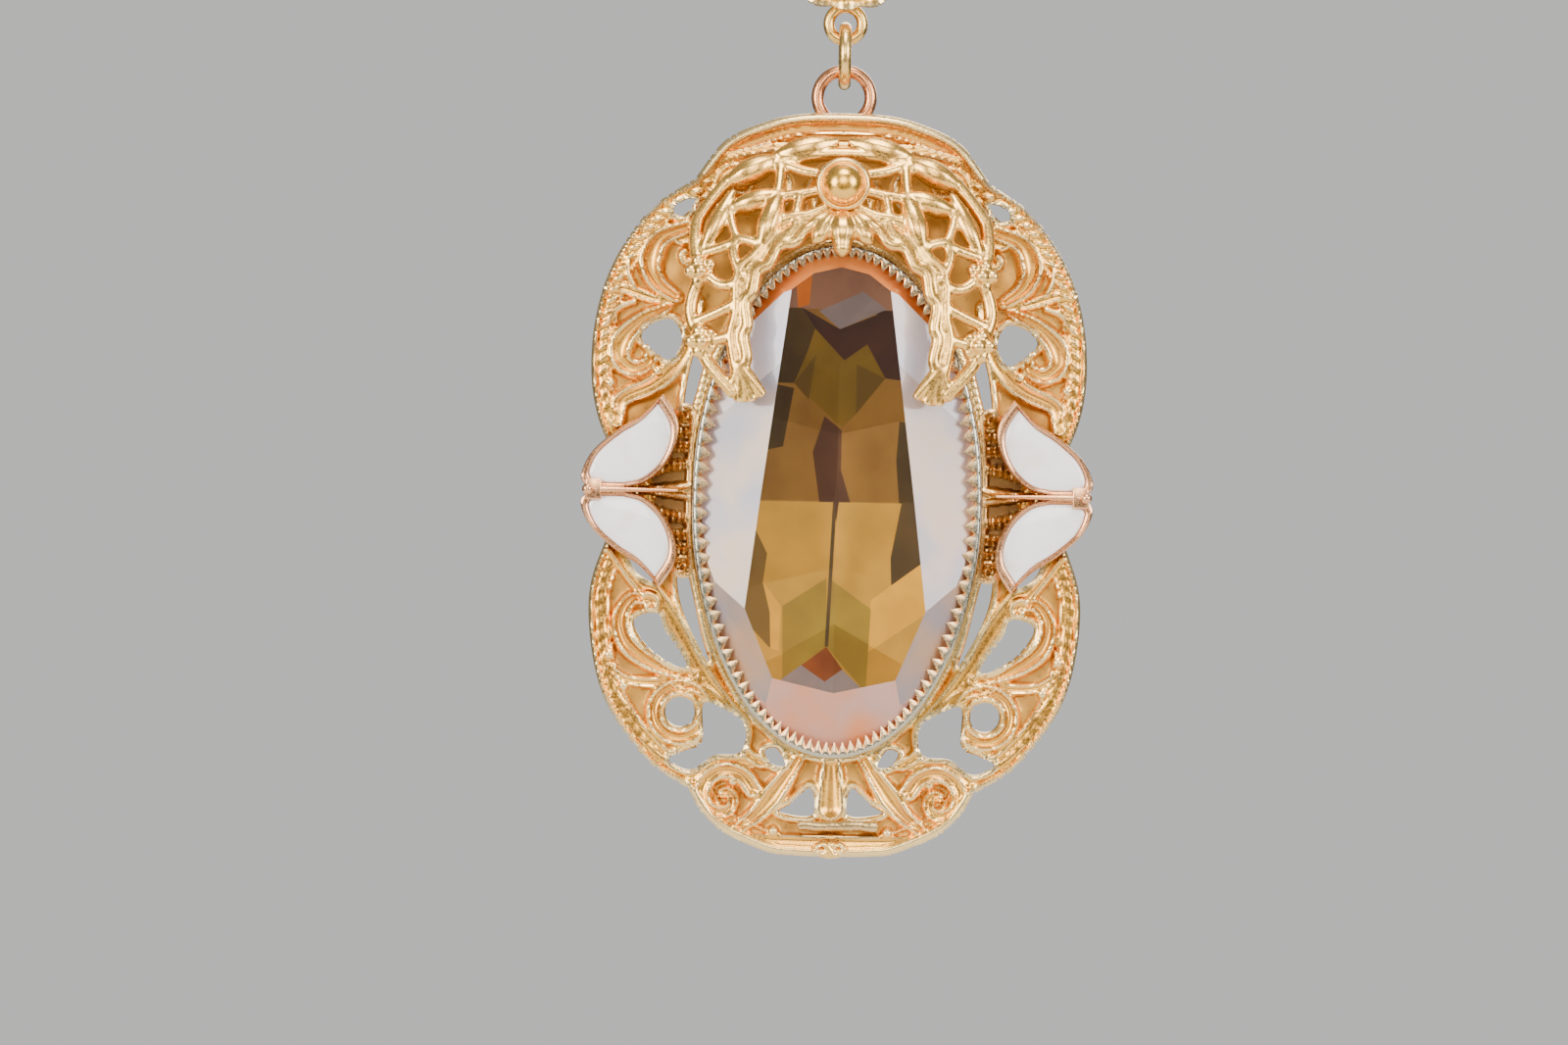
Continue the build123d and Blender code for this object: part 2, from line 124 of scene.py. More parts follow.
def mark_highlight_edges(bm):
    """Writes how far each point stands out from its surroundings, where the gilt gets a painted highlight."""
    bm.verts.index_update()
    bm.normal_update()
    points = np.array([vert.co for vert in bm.verts])
    normals = np.array([vert.normal for vert in bm.verts])
    ends = np.array([(edge.verts[0].index, edge.verts[1].index) for edge in bm.edges])
    count = np.maximum(np.bincount(ends.ravel(), minlength=len(points)), 1)[:, None]
    soft = points.copy()
    for _ in range(HIGHLIGHT_ROUNDS):
        total = np.zeros_like(soft)
        np.add.at(total, ends[:, 0], soft[ends[:, 1]])
        np.add.at(total, ends[:, 1], soft[ends[:, 0]])
        soft = (soft + total / count) / 2
    # The painted highlight: the more a point stands out, the paler its gilt is painted.
    layer = bm.verts.layers.float.new("highlight_edge")
    for vert, height in zip(bm.verts, ((points - soft) * normals).sum(1)):
        vert[layer] = height


def finish(bm, name, materials, body="pendant", replaces=(), smooth=40.0, recalc=True):
    """Stands a face-up bmesh up, gives it the finishes named, and hangs it on its body."""
    if recalc:
        bmesh.ops.remove_doubles(bm, verts=bm.verts, dist=WELD)
        bmesh.ops.recalc_face_normals(bm, faces=bm.faces)
    # Marks raised points, where the gilt gets a painted highlight.
    mark_highlight_edges(bm)
    bmesh.ops.transform(bm, matrix=STAND, verts=bm.verts)
    mesh = bpy.data.meshes.new(name)
    bm.to_mesh(mesh)
    bm.free()
    for material in materials:
        mesh.materials.append(finishes[material])
    piece = bpy.data.objects.new(name, mesh)
    bpy.context.scene.collection.objects.link(piece)
    mesh.shade_smooth()
    if smooth < 180:
        mesh.set_sharp_from_angle(angle=math.radians(smooth))
    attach(piece, body)
    if replaces:
        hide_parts(*replaces)
    print(name, len(mesh.polygons), "faces")


def swept(paths, sides=2):
    """Round bars along smooth paths of (x, y, z, radius) points, as a bmesh."""
    curve = bpy.data.curves.new("bars", "CURVE")
    curve.dimensions = "3D"
    curve.bevel_depth = 1.0
    curve.bevel_resolution = sides
    curve.resolution_u = 4
    curve.use_fill_caps = True
    for path in paths:
        spline = curve.splines.new("NURBS")
        spline.points.add(len(path) - 1)
        for point, (x, y, z, radius) in zip(spline.points, path):
            point.co = (x, y, z, 1)
            point.radius = radius
        spline.order_u = 3
        spline.use_endpoint_u = True
    holder = bpy.data.objects.new("bars", curve)
    bpy.context.scene.collection.objects.link(holder)
    graph = bpy.context.evaluated_depsgraph_get()
    mesh = bpy.data.meshes.new_from_object(holder.evaluated_get(graph))
    bm = bmesh.new()
    bm.from_mesh(mesh)
    bpy.data.objects.remove(holder)
    bpy.data.curves.remove(curve)
    bpy.data.meshes.remove(mesh)
    return bm


def add_bead(bm, x, y, z, radius):
    """A small ball."""
    bmesh.ops.create_icosphere(bm, subdivisions=2, radius=radius, matrix=Matrix.Translation((x, y, z)))


# %% [markdown]
# ## Gilt that has aged
#
# One flat gold would look like plastic. Real gilt is coppery where it has worn through and
# has small grey specks of tarnish. Painted light is mixed in too: a pale painted highlight on
# raised edges and a dark painted shade in the hollows. One node group mixes those colours, and
# each finish places it with its own. The painted shade comes from an attribute that each relief
# writes from its depth, and the painted highlight from one that is measured on the finished mesh.

# %% The aged gilt group
def new_group(name, inputs, outputs):
    """An empty shader group with named sockets; returns it with its two end nodes."""
    group = bpy.data.node_groups.new(name, "ShaderNodeTree")
    for label, kind, value in inputs:
        socket = group.interface.new_socket(label, in_out="INPUT", socket_type=kind)
        socket.default_value = value
    for label, kind in outputs:
        group.interface.new_socket(label, in_out="OUTPUT", socket_type=kind)
    start = group.nodes.new("NodeGroupInput")
    end = group.nodes.new("NodeGroupOutput")
    return group, start, end


def add_node(tree, kind, **settings):
    node = tree.nodes.new(kind)
    for label, value in settings.items():
        setattr(node, label, value)
    return node


def feed(tree, socket, value):
    """Gives a socket its value, which may be another socket or a constant."""
    if isinstance(value, bpy.types.NodeSocket):
        tree.links.new(value, socket)
    else:
        socket.default_value = value


def mix_colour(tree, factor, first, second):
    """A mix of two colours; in this node 0, 6 and 7 are the factor and the colour inputs."""
    node = add_node(tree, "ShaderNodeMix", data_type="RGBA")
    for index, value in ((0, factor), (6, first), (7, second)):
        feed(tree, node.inputs[index], value)
    return node.outputs[2]


def ramp(tree, value, low, high, to_low=0.0, to_high=1.0):
    """Maps a value's range low..high to another range, and clamps it."""
    node = add_node(tree, "ShaderNodeMapRange", clamp=True)
    for socket, given in zip(node.inputs, (value, low, high, to_low, to_high)):
        feed(tree, socket, given)
    return node.outputs["Result"]


def noise_value(tree, coordinate, scale, detail=3.0):
    node = add_node(tree, "ShaderNodeTexNoise")
    for label, value in (("Vector", coordinate), ("Scale", scale), ("Detail", detail), ("Roughness", 0.55)):
        feed(tree, node.inputs[label], value)
    return node.outputs["Fac"]


def add_values(tree, first, second, operation="ADD"):
    """A sum of two values, or another sum that the Math node can do."""
    node = add_node(tree, "ShaderNodeMath", operation=operation)
    for socket, value in zip(node.inputs, (first, second)):
        feed(tree, socket, value)
    return node.outputs[0]


def make_aged_gilt():
    tree, start, end = new_group(
        "aged_gilt",
        [
            ("Gilt", "NodeSocketColor", (0.8, 0.55, 0.25, 1)),
            ("Highlight", "NodeSocketColor", (0.95, 0.82, 0.6, 1)),
            ("Copper", "NodeSocketColor", (0.75, 0.36, 0.2, 1)),
            ("Tarnish and shade", "NodeSocketColor", (0.2, 0.15, 0.13, 1)),
            ("Wear", "NodeSocketFloat", 0.5),
        ],
        [("Color", "NodeSocketColor"), ("Roughness", "NodeSocketFloat"), ("Height", "NodeSocketFloat")],
    )
    place = add_node(tree, "ShaderNodeTexCoord").outputs["Object"]
    patches = ramp(tree, noise_value(tree, place, 420.0), 0.42, 0.62)
    freckles = ramp(tree, noise_value(tree, place, 1900.0, 4.0), 0.58, 0.72)
    # Painted shade: this attribute is high where a point lies deep in the relief, and the gilt is painted
    # darker there.
    hollow_shade = add_node(tree, "ShaderNodeAttribute", attribute_name="hollow_shade").outputs["Fac"]
    # Painted highlight: how far a point stands out, measured on the finished mesh.
    highlight_edge = add_node(tree, "ShaderNodeAttribute", attribute_name="highlight_edge").outputs["Fac"]
    edge = ramp(tree, highlight_edge, 0.012, 0.055)
    copper = add_values(tree, patches, start.outputs["Wear"], "MULTIPLY")
    colour = mix_colour(tree, copper, start.outputs["Gilt"], start.outputs["Copper"])
    # Painted highlight: raised edges are mixed towards the pale highlight colour.
    colour = mix_colour(tree, add_values(tree, edge, 0.75, "MULTIPLY"), colour, start.outputs["Highlight"])
    # Painted shade in the hollows, plus small grey specks of real tarnish, mixed towards the dark
    # tarnish-and-shade colour.
    shade = add_values(tree, hollow_shade, add_values(tree, freckles, 0.35, "MULTIPLY"))
    shade = ramp(tree, shade, 0.12, 1.0, 0.0, 0.9)
    colour = mix_colour(tree, shade, colour, start.outputs["Tarnish and shade"])
    fine = noise_value(tree, place, 5200.0, 3.0)
    dents = noise_value(tree, place, 900.0, 2.0)
    rough = ramp(tree, add_values(tree, fine, hollow_shade), 0.3, 1.4, 0.2, 0.62)
    dents = add_values(tree, dents, 0.7, "MULTIPLY")
    height = add_values(tree, dents, add_values(tree, fine, 0.3, "MULTIPLY"))
    tree.links.new(colour, end.inputs["Color"])
    tree.links.new(rough, end.inputs["Roughness"])
    tree.links.new(height, end.inputs["Height"])
    return tree


AGED_GILT = make_aged_gilt()
print("group", AGED_GILT.name)

# %% The gilt finishes
def new_material(name):
    material = bpy.data.materials.new(name)
    material.use_nodes = True
    tree = material.node_tree
    return material, tree, tree.nodes["Principled BSDF"]


def gilt_finish(name, gilt, highlight, copper, tarnish_and_shade, wear, bump=0.00003):
    material, tree, shader = new_material(name)
    group = add_node(tree, "ShaderNodeGroup", node_tree=AGED_GILT)
    for label, value in (("Gilt", gilt), ("Highlight", highlight), ("Copper", copper), ("Tarnish and shade", tarnish_and_shade)):
        group.inputs[label].default_value = (*value, 1)
    group.inputs["Wear"].default_value = wear
    relief = add_node(tree, "ShaderNodeBump")
    relief.inputs["Strength"].default_value = 0.4
    relief.inputs["Distance"].default_value = bump
    tree.links.new(group.outputs["Height"], relief.inputs["Height"])
    tree.links.new(group.outputs["Color"], shader.inputs["Base Color"])
    tree.links.new(group.outputs["Roughness"], shader.inputs["Roughness"])
    tree.links.new(relief.outputs["Normal"], shader.inputs["Normal"])
    shader.inputs["Metallic"].default_value = 1.0
    return material


GILTS = {               # gilt, painted highlight, copper, colour of tarnish and painted shade, wear and, if it isn't cast, its bump in metres
    "frame_gilt": ((0.90, 0.46, 0.075), (1.0, 0.78, 0.36), (0.76, 0.32, 0.07), (0.30, 0.155, 0.045), 0.5),
    "pale_gilt": ((1.0, 0.60, 0.15), (1.0, 0.84, 0.46), (0.90, 0.45, 0.11), (0.34, 0.18, 0.055), 0.45),
    "dark_gilt": ((0.50, 0.27, 0.08), (0.86, 0.54, 0.22), (0.42, 0.19, 0.06), (0.13, 0.07, 0.03), 0.6),
    "copper_gilt": (
        (0.66, 0.25, 0.09), (0.92, 0.52, 0.28), (0.50, 0.16, 0.06), (0.20, 0.07, 0.035), 0.4, 0.000012),
    "yellow_gilt": (
        (0.88, 0.50, 0.09), (1.0, 0.78, 0.36), (0.72, 0.35, 0.06), (0.26, 0.14, 0.04), 0.25, 0.000012),
    "polished_gilt": (
        (1.0, 0.52, 0.06), (1.0, 0.76, 0.32), (0.85, 0.46, 0.10), (0.40, 0.22, 0.06), 0.2, 0.00001),
    "bezel_gilt": ((0.29, 0.26, 0.18), (0.60, 0.56, 0.42), (0.42, 0.25, 0.11), (0.10, 0.09, 0.06), 0.4),
    "tooth_copper": ((0.98, 0.42, 0.11), (1.0, 0.76, 0.42), (0.74, 0.24, 0.06), (0.34, 0.12, 0.05), 0.5),
    "cup_gilt": ((0.70, 0.44, 0.16), (0.92, 0.68, 0.34), (0.50, 0.26, 0.10), (0.18, 0.11, 0.06), 0.5),
    "solder": ((0.78, 0.54, 0.24), (0.96, 0.86, 0.64), (0.66, 0.42, 0.18), (0.24, 0.17, 0.10), 0.6, 0.00006),
}
finishes = {name: gilt_finish(name, *values) for name, values in GILTS.items()}


def make_enamel():
    """White enamel: almost even, with a faint tan stain and the odd dark speck."""
    material, tree, shader = new_material("enamel")
    place = add_node(tree, "ShaderNodeTexCoord").outputs["Object"]
    stain = ramp(tree, noise_value(tree, place, 260.0, 2.0), 0.56, 0.74, 0.0, 0.5)
    speck = ramp(tree, noise_value(tree, place, 3400.0, 2.0), 0.74, 0.80, 0.0, 0.6)
    colour = mix_colour(tree, stain, (0.93, 0.92, 0.90, 1), (0.80, 0.56, 0.42, 1))
    colour = mix_colour(tree, speck, colour, (0.34, 0.22, 0.16, 1))
    tree.links.new(colour, shader.inputs["Base Color"])
    waves = add_node(tree, "ShaderNodeBump")
    waves.inputs["Strength"].default_value = 0.3
    waves.inputs["Distance"].default_value = 0.00012
    tree.links.new(noise_value(tree, place, 380.0, 1.0), waves.inputs["Height"])
    tree.links.new(waves.outputs["Normal"], shader.inputs["Normal"])
    shader.inputs["Roughness"].default_value = 0.12
    shader.inputs["Coat Weight"].default_value = 0.4
    return material


finishes["enamel"] = make_enamel()
print("finishes", len(bpy.data.materials))

# %% [markdown]
# ## Openwork relief
#
# The cast frame could be built from dozens of separate scrolls, but a real casting is one
# skin of metal. A fine grid is cut to the outline and its holes, and each point of it is
# raised by the ornament nearest to it: a border with a rope, lips round the holes, scrolls
# and grooved leaves. The right half is made and mirrored.

# %% Curves through a few points
def smooth_path(points, steps=10, closed=False):
    """A smooth path through points (Catmull-Rom), as an array of x, y rows."""
    pts = np.array(points, float)
    if closed:
        pts = np.vstack([pts[-1], pts, pts[0], pts[1]])
    else:
        pts = np.vstack([2 * pts[0] - pts[1], pts, 2 * pts[-1] - pts[-2]])
    t = np.linspace(0, 1, steps, endpoint=False)[:, None]
    rows = []
    for a, b, c, d in zip(pts, pts[1:], pts[2:], pts[3:]):
        rows.append(0.5 * (2 * b + (c - a) * t + (2 * a - 5 * b + 4 * c - d) * t**2
                           + (3 * b - a - 3 * c + d) * t**3))
    path = np.vstack(rows)
    return path if closed else np.vstack([path, pts[-2]])


def nearest(points, path, closed=False):
    """For each point: its distance to the path, the place along it and the nearest spot."""
    a = path
    b = np.roll(path, -1, axis=0)
    if not closed:
        a, b = a[:-1], b[:-1]
    step = b - a
    size = np.maximum((step**2).sum(1), 1e-12)
    run = np.concatenate([[0], np.cumsum(np.sqrt(size))[:-1]])
    best = np.full(len(points), 1e9)
    along = np.zeros(len(points))
    spot = np.zeros((len(points), 2))
    for start, way, square, done in zip(a, step, size, run):
        t = np.clip(((points - start) @ way) / square, 0, 1)
        foot = start + t[:, None] * way
        gap = ((points - foot) ** 2).sum(1)
        closer = gap < best
        best[closer] = gap[closer]
        along[closer] = done + t[closer] * math.sqrt(square)
        spot[closer] = foot[closer]
    return np.sqrt(best), along, spot


def inside(points, path):
    """True where a point lies inside a closed path."""
    a = path
    b = np.roll(path, -1, axis=0)
    odd = np.zeros(len(points), bool)
    for (ax, ay), (bx, by) in zip(a, b):
        crosses = (ay > points[:, 1]) != (by > points[:, 1])
        if ay != by:
            x = ax + (points[:, 1] - ay) * (bx - ax) / (by - ay)
            odd ^= crosses & (points[:, 0] < x)
    return odd


def between(angle, share):
    """A point from the bezel's edge (share 0) to the frame's nominal oval (share 1)."""
    turn = math.radians(angle)
    inner = (bezel_half.x * math.cos(turn), bezel_half.y * math.sin(turn) + STONE_Y)
    outer = (frame_half.x * math.cos(turn), frame_half.y * math.sin(turn))
    return (inner[0] + share * (outer[0] - inner[0]), inner[1] + share * (outer[1] - inner[1]))


# %% The outline and its holes
LOBES = [
    [(90, 1.0), (81, 1.025), (73, 1.06), (63, 1.10), (54, 1.03)],
    [(54, 1.03), (43, 1.17), (31, 1.22), (20, 1.15), (10, 0.96), (-1, 0.56)],
    [(-1, 0.56), (-10, 0.88), (-19, 1.12), (-32, 1.25), (-45, 1.18), (-55, 1.02)],
    [(-55, 1.02), (-63, 1.12), (-75, 1.08), (-82, 1.03), (-90, 1.0)],
]
HOLES = {
    "lower_heart": [(-23.5, 0.72), (-23.3, 0.47), (-27.5, 0.43), (-35, 0.34), (-35, 0.44), (-29, 0.65)],
    "lower_scroll": [
        (-45, 0.37), (-49, 0.22), (-57, 0.15), (-60, 0.37), (-55, 0.60), (-53, 0.88),
        (-48.5, 0.98), (-49.5, 0.80), (-51, 0.60),
    ],
    "lower_slot": [
        (-16, 0.19), (-16.5, 0.10), (-23, 0.08), (-31, 0.10), (-38, 0.13), (-29, 0.19), (-22, 0.22)],
    "lower_leaf_slit": [(-12, 0.64), (-15, 0.49), (-17.3, 0.45), (-15, 0.60)],
    "bezel_crescent": [(-69, 0.10), (-66, 0.20), (-70, 0.26), (-74, 0.20)],
    "foot_triangle": [(-83.5, 0.33), (-85, 0.60), (-76, 0.66), (-79, 0.52)],
    "upper_notch": [(47, 1.0), (50, 0.98), (52, 0.90), (48, 0.90)],
    "upper_heart": [(26, 0.74), (29.5, 0.67), (32.5, 0.52), (30.5, 0.37), (25.5, 0.42), (25.3, 0.62)],
    "upper_slot": [(18, 0.12), (19, 0.18), (27, 0.22), (35, 0.23), (34, 0.14), (26, 0.10)],
}
VOLUTE = between(-43, 0.62)
VOLUTE_HOLE = 1.2


def ring_path(x, y, radius_x, radius_y, count=48):
    turns = np.linspace(0, 2 * math.pi, count, endpoint=False)
    return np.column_stack([x + radius_x * np.cos(turns), y + radius_y * np.sin(turns)])


half_outline = np.vstack([smooth_path([between(a, s) for a, s in lobe], 14)[:-1] for lobe in LOBES])
outline = np.vstack([half_outline, half_outline[::-1] * (-1, 1)])
hole_paths = [smooth_path([between(a, s) for a, s in hole], 8, closed=True) for hole in HOLES.values()]
hole_paths.append(ring_path(*VOLUTE, VOLUTE_HOLE, VOLUTE_HOLE))
bezel_path = ring_path(0, STONE_Y, bezel_half.x + 0.02, bezel_half.y + 0.02, 160)
print("outline", len(outline), "points,", len(hole_paths), "holes")

# %% The ornament on the right half
SPIRAL_POINTS = 16


def spiral(x, y, start, end, first, turns):
    """Points of a scroll that winds from one radius to another."""
    rows = []
    for k in range(SPIRAL_POINTS):
        share = k / (SPIRAL_POINTS - 1)
        radius = start + (end - start) * share
        turn = math.radians(first) + 2 * math.pi * turns * share
        rows.append((x + radius * math.cos(turn), y + radius * math.sin(turn)))
    return rows


# Each ridge: a path, its half width at the start, middle and end, its height, and how deeply
# a groove runs along its middle (0 is a plain round bar).
RIDGES = [
    ([(17.9, -5.2), (16.2, -7.4), (14.3, -9.6), (12.8, -11.8), (11.4, -14.2), (9.6, -16.8), (7.2, -19.4)],
     (1.0, 1.35, 0.8), 0.85, 0.35),
    ([(15.2, -9.4), (16.4, -9.5), (17.25, -11.0), (16.8, -12.9), (15.2, -14.3), (13.3, -15.1), (11.2, -15.6)],
     (0.6, 1.05, 0.6), 0.95, 0.65),
    (spiral(14.9, -9.9, 0.9, 0.25, 60, 0.8), (0.5, 0.45, 0.4), 0.9, 0.0),
    (spiral(*VOLUTE, 2.05, 2.05, 60, 1.0), (0.86, 0.9, 0.86), 1.0, 0.6),
    ([(12.6, -16.2), (10.8, -16.6), (9.3, -17.6), (7.8, -18.8)], (0.6, 0.75, 0.5), 0.85, 0.5),
    ([(18.2, -15.0), (16.6, -16.0), (14.6, -16.2), (12.6, -16.0), (10.4, -16.2)],
     (0.35, 0.62, 0.5), 0.75, 0.4),
    ([(17.6, -17.2), (16.4, -19.0), (14.9, -20.7), (13.3, -21.9), (11.6, -22.4)], (0.5, 0.8, 0.5), 0.75, 0.5),
    (spiral(8.7, -25.3, 2.5, 0.35, 165, -1.2), (0.95, 0.85, 0.5), 1.0, 0.5),
    ([(7.2, -20.3), (6.9, -21.6), (5.8, -22.4), (4.4, -22.5), (3.3, -21.9)], (0.5, 0.66, 0.5), 0.85, 0.45),
    ([(6.4, -22.6), (8.0, -22.3), (9.9, -22.6), (11.3, -23.8)], (0.5, 0.7, 0.5), 0.8, 0.4),
    ([(2.6, -22.1), (4.1, -24.3), (5.7, -26.4), (7.4, -27.8)], (0.6, 1.25, 0.6), 0.95, 0.6),
    ([(0.0, -21.9), (0.0, -24.2), (0.0, -26.0)], (0.9, 1.4, 1.65), 0.9, 0.6),
    ([(9.6, -28.2), (6.4, -28.6), (3.0, -28.7), (0.0, -28.7)], (0.4, 0.6, 0.6), 0.75, 0.3),
    ([(17.9, 4.8), (17.4, 6.6), (15.0, 7.8), (13.2, 9.4), (12.1, 11.6), (11.6, 14.4)],
     (0.8, 1.05, 0.8), 0.8, 0.45),
    ([(13.7, 14.2), (15.8, 13.1), (17.4, 11.5), (17.7, 10.0), (16.7, 9.1), (15.4, 9.5), (15.2, 10.5)],
     (0.4, 1.3, 0.6), 1.0, 0.6),
    ([(12.4, 20.6), (14.6, 19.6), (15.4, 17.8), (14.8, 16.1), (13.2, 14.9)], (0.7, 1.3, 0.6), 1.0, 0.6),
    ([(19.2, 15.7), (17.4, 15.5), (15.6, 14.9), (13.9, 14.5)], (0.25, 0.6, 0.3), 0.85, 0.3),
    ([(17.0, 18.2), (17.2, 16.9), (16.6, 15.6)], (0.2, 0.45, 0.3), 0.8, 0.0),
    ([(18.8, 12.6), (18.0, 13.9), (16.6, 14.5)], (0.25, 0.45, 0.3), 0.75, 0.0),
    (spiral(12.4, 18.4, 1.3, 0.3, 60, 0.9), (0.55, 0.5, 0.4), 0.85, 0.2),
    ([(13.4, 21.6), (12.4, 23.0), (11.0, 23.4), (10.2, 22.4)], (0.5, 0.7, 0.5), 0.75, 0.4),
    (spiral(8.4, 24.2, 1.9, 0.3, 250, 1.2), (0.8, 0.7, 0.5), 0.8, 0.3),
    ([(11.6, 24.4), (9.4, 26.2), (6.4, 27.0), (3.2, 27.3), (0.0, 27.3)], (0.4, 0.5, 0.5), 0.75, 0.2),
    ([(6.0, 21.4), (4.6, 23.6), (5.4, 26.0)], (0.5, 0.8, 0.5), 0.7, 0.4),
    ([(2.6, 21.9), (2.2, 24.2), (0.0, 26.4)], (0.6, 0.9, 0.5), 0.7, 0.4),
]
BUDS = [(16.9, -16.5), (18.1, -14.0), (18.4, 7.9), (14.6, 8.9), (4.6, -28.0), (7.9, -24.0)]
BORDER = 1.75          # width of the border, with its rope
ROPE_AT = 0.95         # the rope's middle, in from the edge
ROPE_HALF = 0.52
ROPE_PITCH = 1.0


def half_round(distance, half_width):
    """The height of a round bar's back, from 1 at its middle to 0 at its edge."""
    return np.sqrt(np.clip(1 - (distance / half_width) ** 2, 0, 1))


def border_height(edge, run, xy):
    """An outer bead, bold at the top and foot, and a channel with a rope that is sharp higher up."""
    bold = np.interp(np.abs(xy[:, 1]), (23, 26), (0.26, 0.5))
    bead = 0.85 * half_round(edge - 0.92 * bold, bold)
    sharp = np.interp(xy[:, 1], (-25, -22, 3, 15, 24, 25), (0, 0.35, 0.3, 1, 1, 0))
    twist = 1 - 0.42 * sharp * (0.5 + 0.5 * np.cos(2 * math.pi * run / ROPE_PITCH + 5.0 * (edge - ROPE_AT)))
    rise = np.interp(sharp, (0, 0.3, 1), (0.0, 0.28, 0.48))
    rope = 0.30 + rise * half_round(edge - ROPE_AT, ROPE_HALF) * twist
    inner = 0.6 * half_round(edge - BORDER + 0.12, 0.2)
    height = np.maximum(np.maximum(bead, rope), inner)
    return np.where(edge < BORDER, height, 0)


def ornament_height(xy, edge, run, rim):
    """The relief of the frame above its ground, in millimetres."""
    ground = 0.20 + 0.07 * np.sin(xy[:, 0] * 2.1 + 1.3) * np.cos(xy[:, 1] * 1.7)
    height = np.maximum(border_height(edge, run, xy), ground)
    height = np.maximum(height, 0.62 * half_round(rim - 0.26, 0.34))
    for points, widths, rise, groove in RIDGES:
        path = smooth_path(points, 6)
        gap, along, _ = nearest(xy, path)
        share = along / max(along.max(), 1e-6)
        width = np.interp(share, (0, 0.5, 1), widths)
        back = half_round(gap, width)
        valley = 1 - groove * np.clip(1 - (gap / (0.55 * width)) ** 2, 0, 1)
        height = np.maximum(height, rise * back * valley)
    for x, y in BUDS:
        gap = np.hypot(xy[:, 0] - x, xy[:, 1] - y)
        height = np.maximum(height, 0.85 * half_round(gap, 0.55))
    return height


# %% [markdown]
# ### Cutting the grid
#
# A grid cut by whole squares has a stepped edge. So squares are kept by their centres, and
# then each point on the cut edge is moved to the nearest spot of the true outline. One
# extrude gives the sheet its back and its walls.

# %% Cut and raise the grid
def relief_sheet(pitch, outer, holes, raise_by, low, high, base, half=False):
    """A sheet cut to an outline and raised by a function.

    With half it is the right half only, and its edge at x = 0 stays straight for the mirror.
    """
    bm = bmesh.new()
    middle = ((low[0] + high[0]) / 2, (low[1] + high[1]) / 2, 0)
    span = (high[0] - low[0], high[1] - low[1])
    bmesh.ops.create_grid(bm, x_segments=round(span[0] / pitch), y_segments=round(span[1] / pitch), size=1)
    place = Matrix.Translation(middle) @ Matrix.Diagonal((span[0] / 2, span[1] / 2, 1, 1))
    bmesh.ops.transform(bm, verts=bm.verts, matrix=place)
    middles = np.array([face.calc_center_median()[:2] for face in bm.faces])
    keep = inside(middles, outer)
    for hole in holes:
        keep &= ~inside(middles, hole)
    bmesh.ops.delete(bm, geom=[face for face, k in zip(bm.faces, keep) if not k], context="FACES")
    seam = 0.01 if half else -1e9
    for _ in range(2):
        spikes = [v.link_faces[0] for v in bm.verts if len(v.link_faces) == 1 and v.co.x > seam]
        bmesh.ops.delete(bm, geom=list(set(spikes)), context="FACES")
    xy = np.array([v.co[:2] for v in bm.verts])
    gap, _, spot = nearest(xy, outer, closed=True)
    for hole in holes:
        hole_gap, _, hole_spot = nearest(xy, hole, closed=True)
        closer = hole_gap < gap
        gap[closer] = hole_gap[closer]
        spot[closer] = hole_spot[closer]
    for vert, away, goal in zip(bm.verts, gap, spot):
        if vert.is_boundary and vert.co.x > seam and away < 1.6 * pitch:
            vert.co.x = max(goal[0], 0.0) if half else goal[0]
            vert.co.y = goal[1]
    near = [v for v, away in zip(bm.verts, gap) if away < 3.2 * pitch]
    loose = [v for v in near if not v.is_boundary and v.co.x > seam]
    for _ in range(4):
        bmesh.ops.smooth_vert(
            bm, verts=loose, factor=0.5, use_axis_x=True, use_axis_y=True, use_axis_z=True)
    xy = np.array([v.co[:2] for v in bm.verts])
    edge, run, _ = nearest(xy, outer, closed=True)
    rim = np.min([nearest(xy, hole, closed=True)[0] for hole in holes] or [edge], axis=0)
    height = raise_by(xy, edge, run, rim)
    # Painted shade: the lower a point lies in the relief, the darker its gilt is painted.
    layer = bm.verts.layers.float_color.new("hollow_shade")
    deep = max(0.55 * float(height.max()), 1e-6)
    for vert, rise in zip(bm.verts, height):
        vert.co.z = base + rise
        shade = min(max(1 - rise / deep, 0), 1)
        vert[layer] = (shade, shade, shade, 1)
    return bm


def mirror_half(bm):
    bmesh.ops.mirror(bm, geom=bm.verts[:] + bm.edges[:] + bm.faces[:], axis="X", merge_dist=0.0004)


# The painted shade given to the flat back of a relief.
BACK_HOLLOW_SHADE = 0.3
FRAME_PITCH = 0.155      # the size of the grid's squares


def close_sheet(bm, back):
    """Gives an open relief a flat back at a height, and a wall round every edge."""
    # The flat back gets an even, light painted shade.
    layer = bm.verts.layers.float_color["hollow_shade"]
    made = bmesh.ops.extrude_face_region(bm, geom=bm.faces[:])
    for item in made["geom"]:
        if isinstance(item, bmesh.types.BMVert):
            item.co.z = back
            item[layer] = (BACK_HOLLOW_SHADE, BACK_HOLLOW_SHADE, BACK_HOLLOW_SHADE, 1)


frame_bm = relief_sheet(
    FRAME_PITCH, outline, hole_paths + [bezel_path], ornament_height,
    (0, -frame_half.y), (frame_half.x * 1.01, frame_half.y), PLATE_FRONT - 0.1, half=True)
mirror_half(frame_bm)
close_sheet(frame_bm, PLATE_BACK)
finish(frame_bm, "openwork_frame", ["frame_gilt"], replaces=["frame_plate"], smooth=50)

# %% [markdown]
# ## Fans at the waist
#
# Between each pair of leaves and the stone lies a small dark fan: a grooved stem in the
# middle and a curl above and below it, with a texture like cord. It is a relief as well, so
# the same cutter makes it from its own outline.

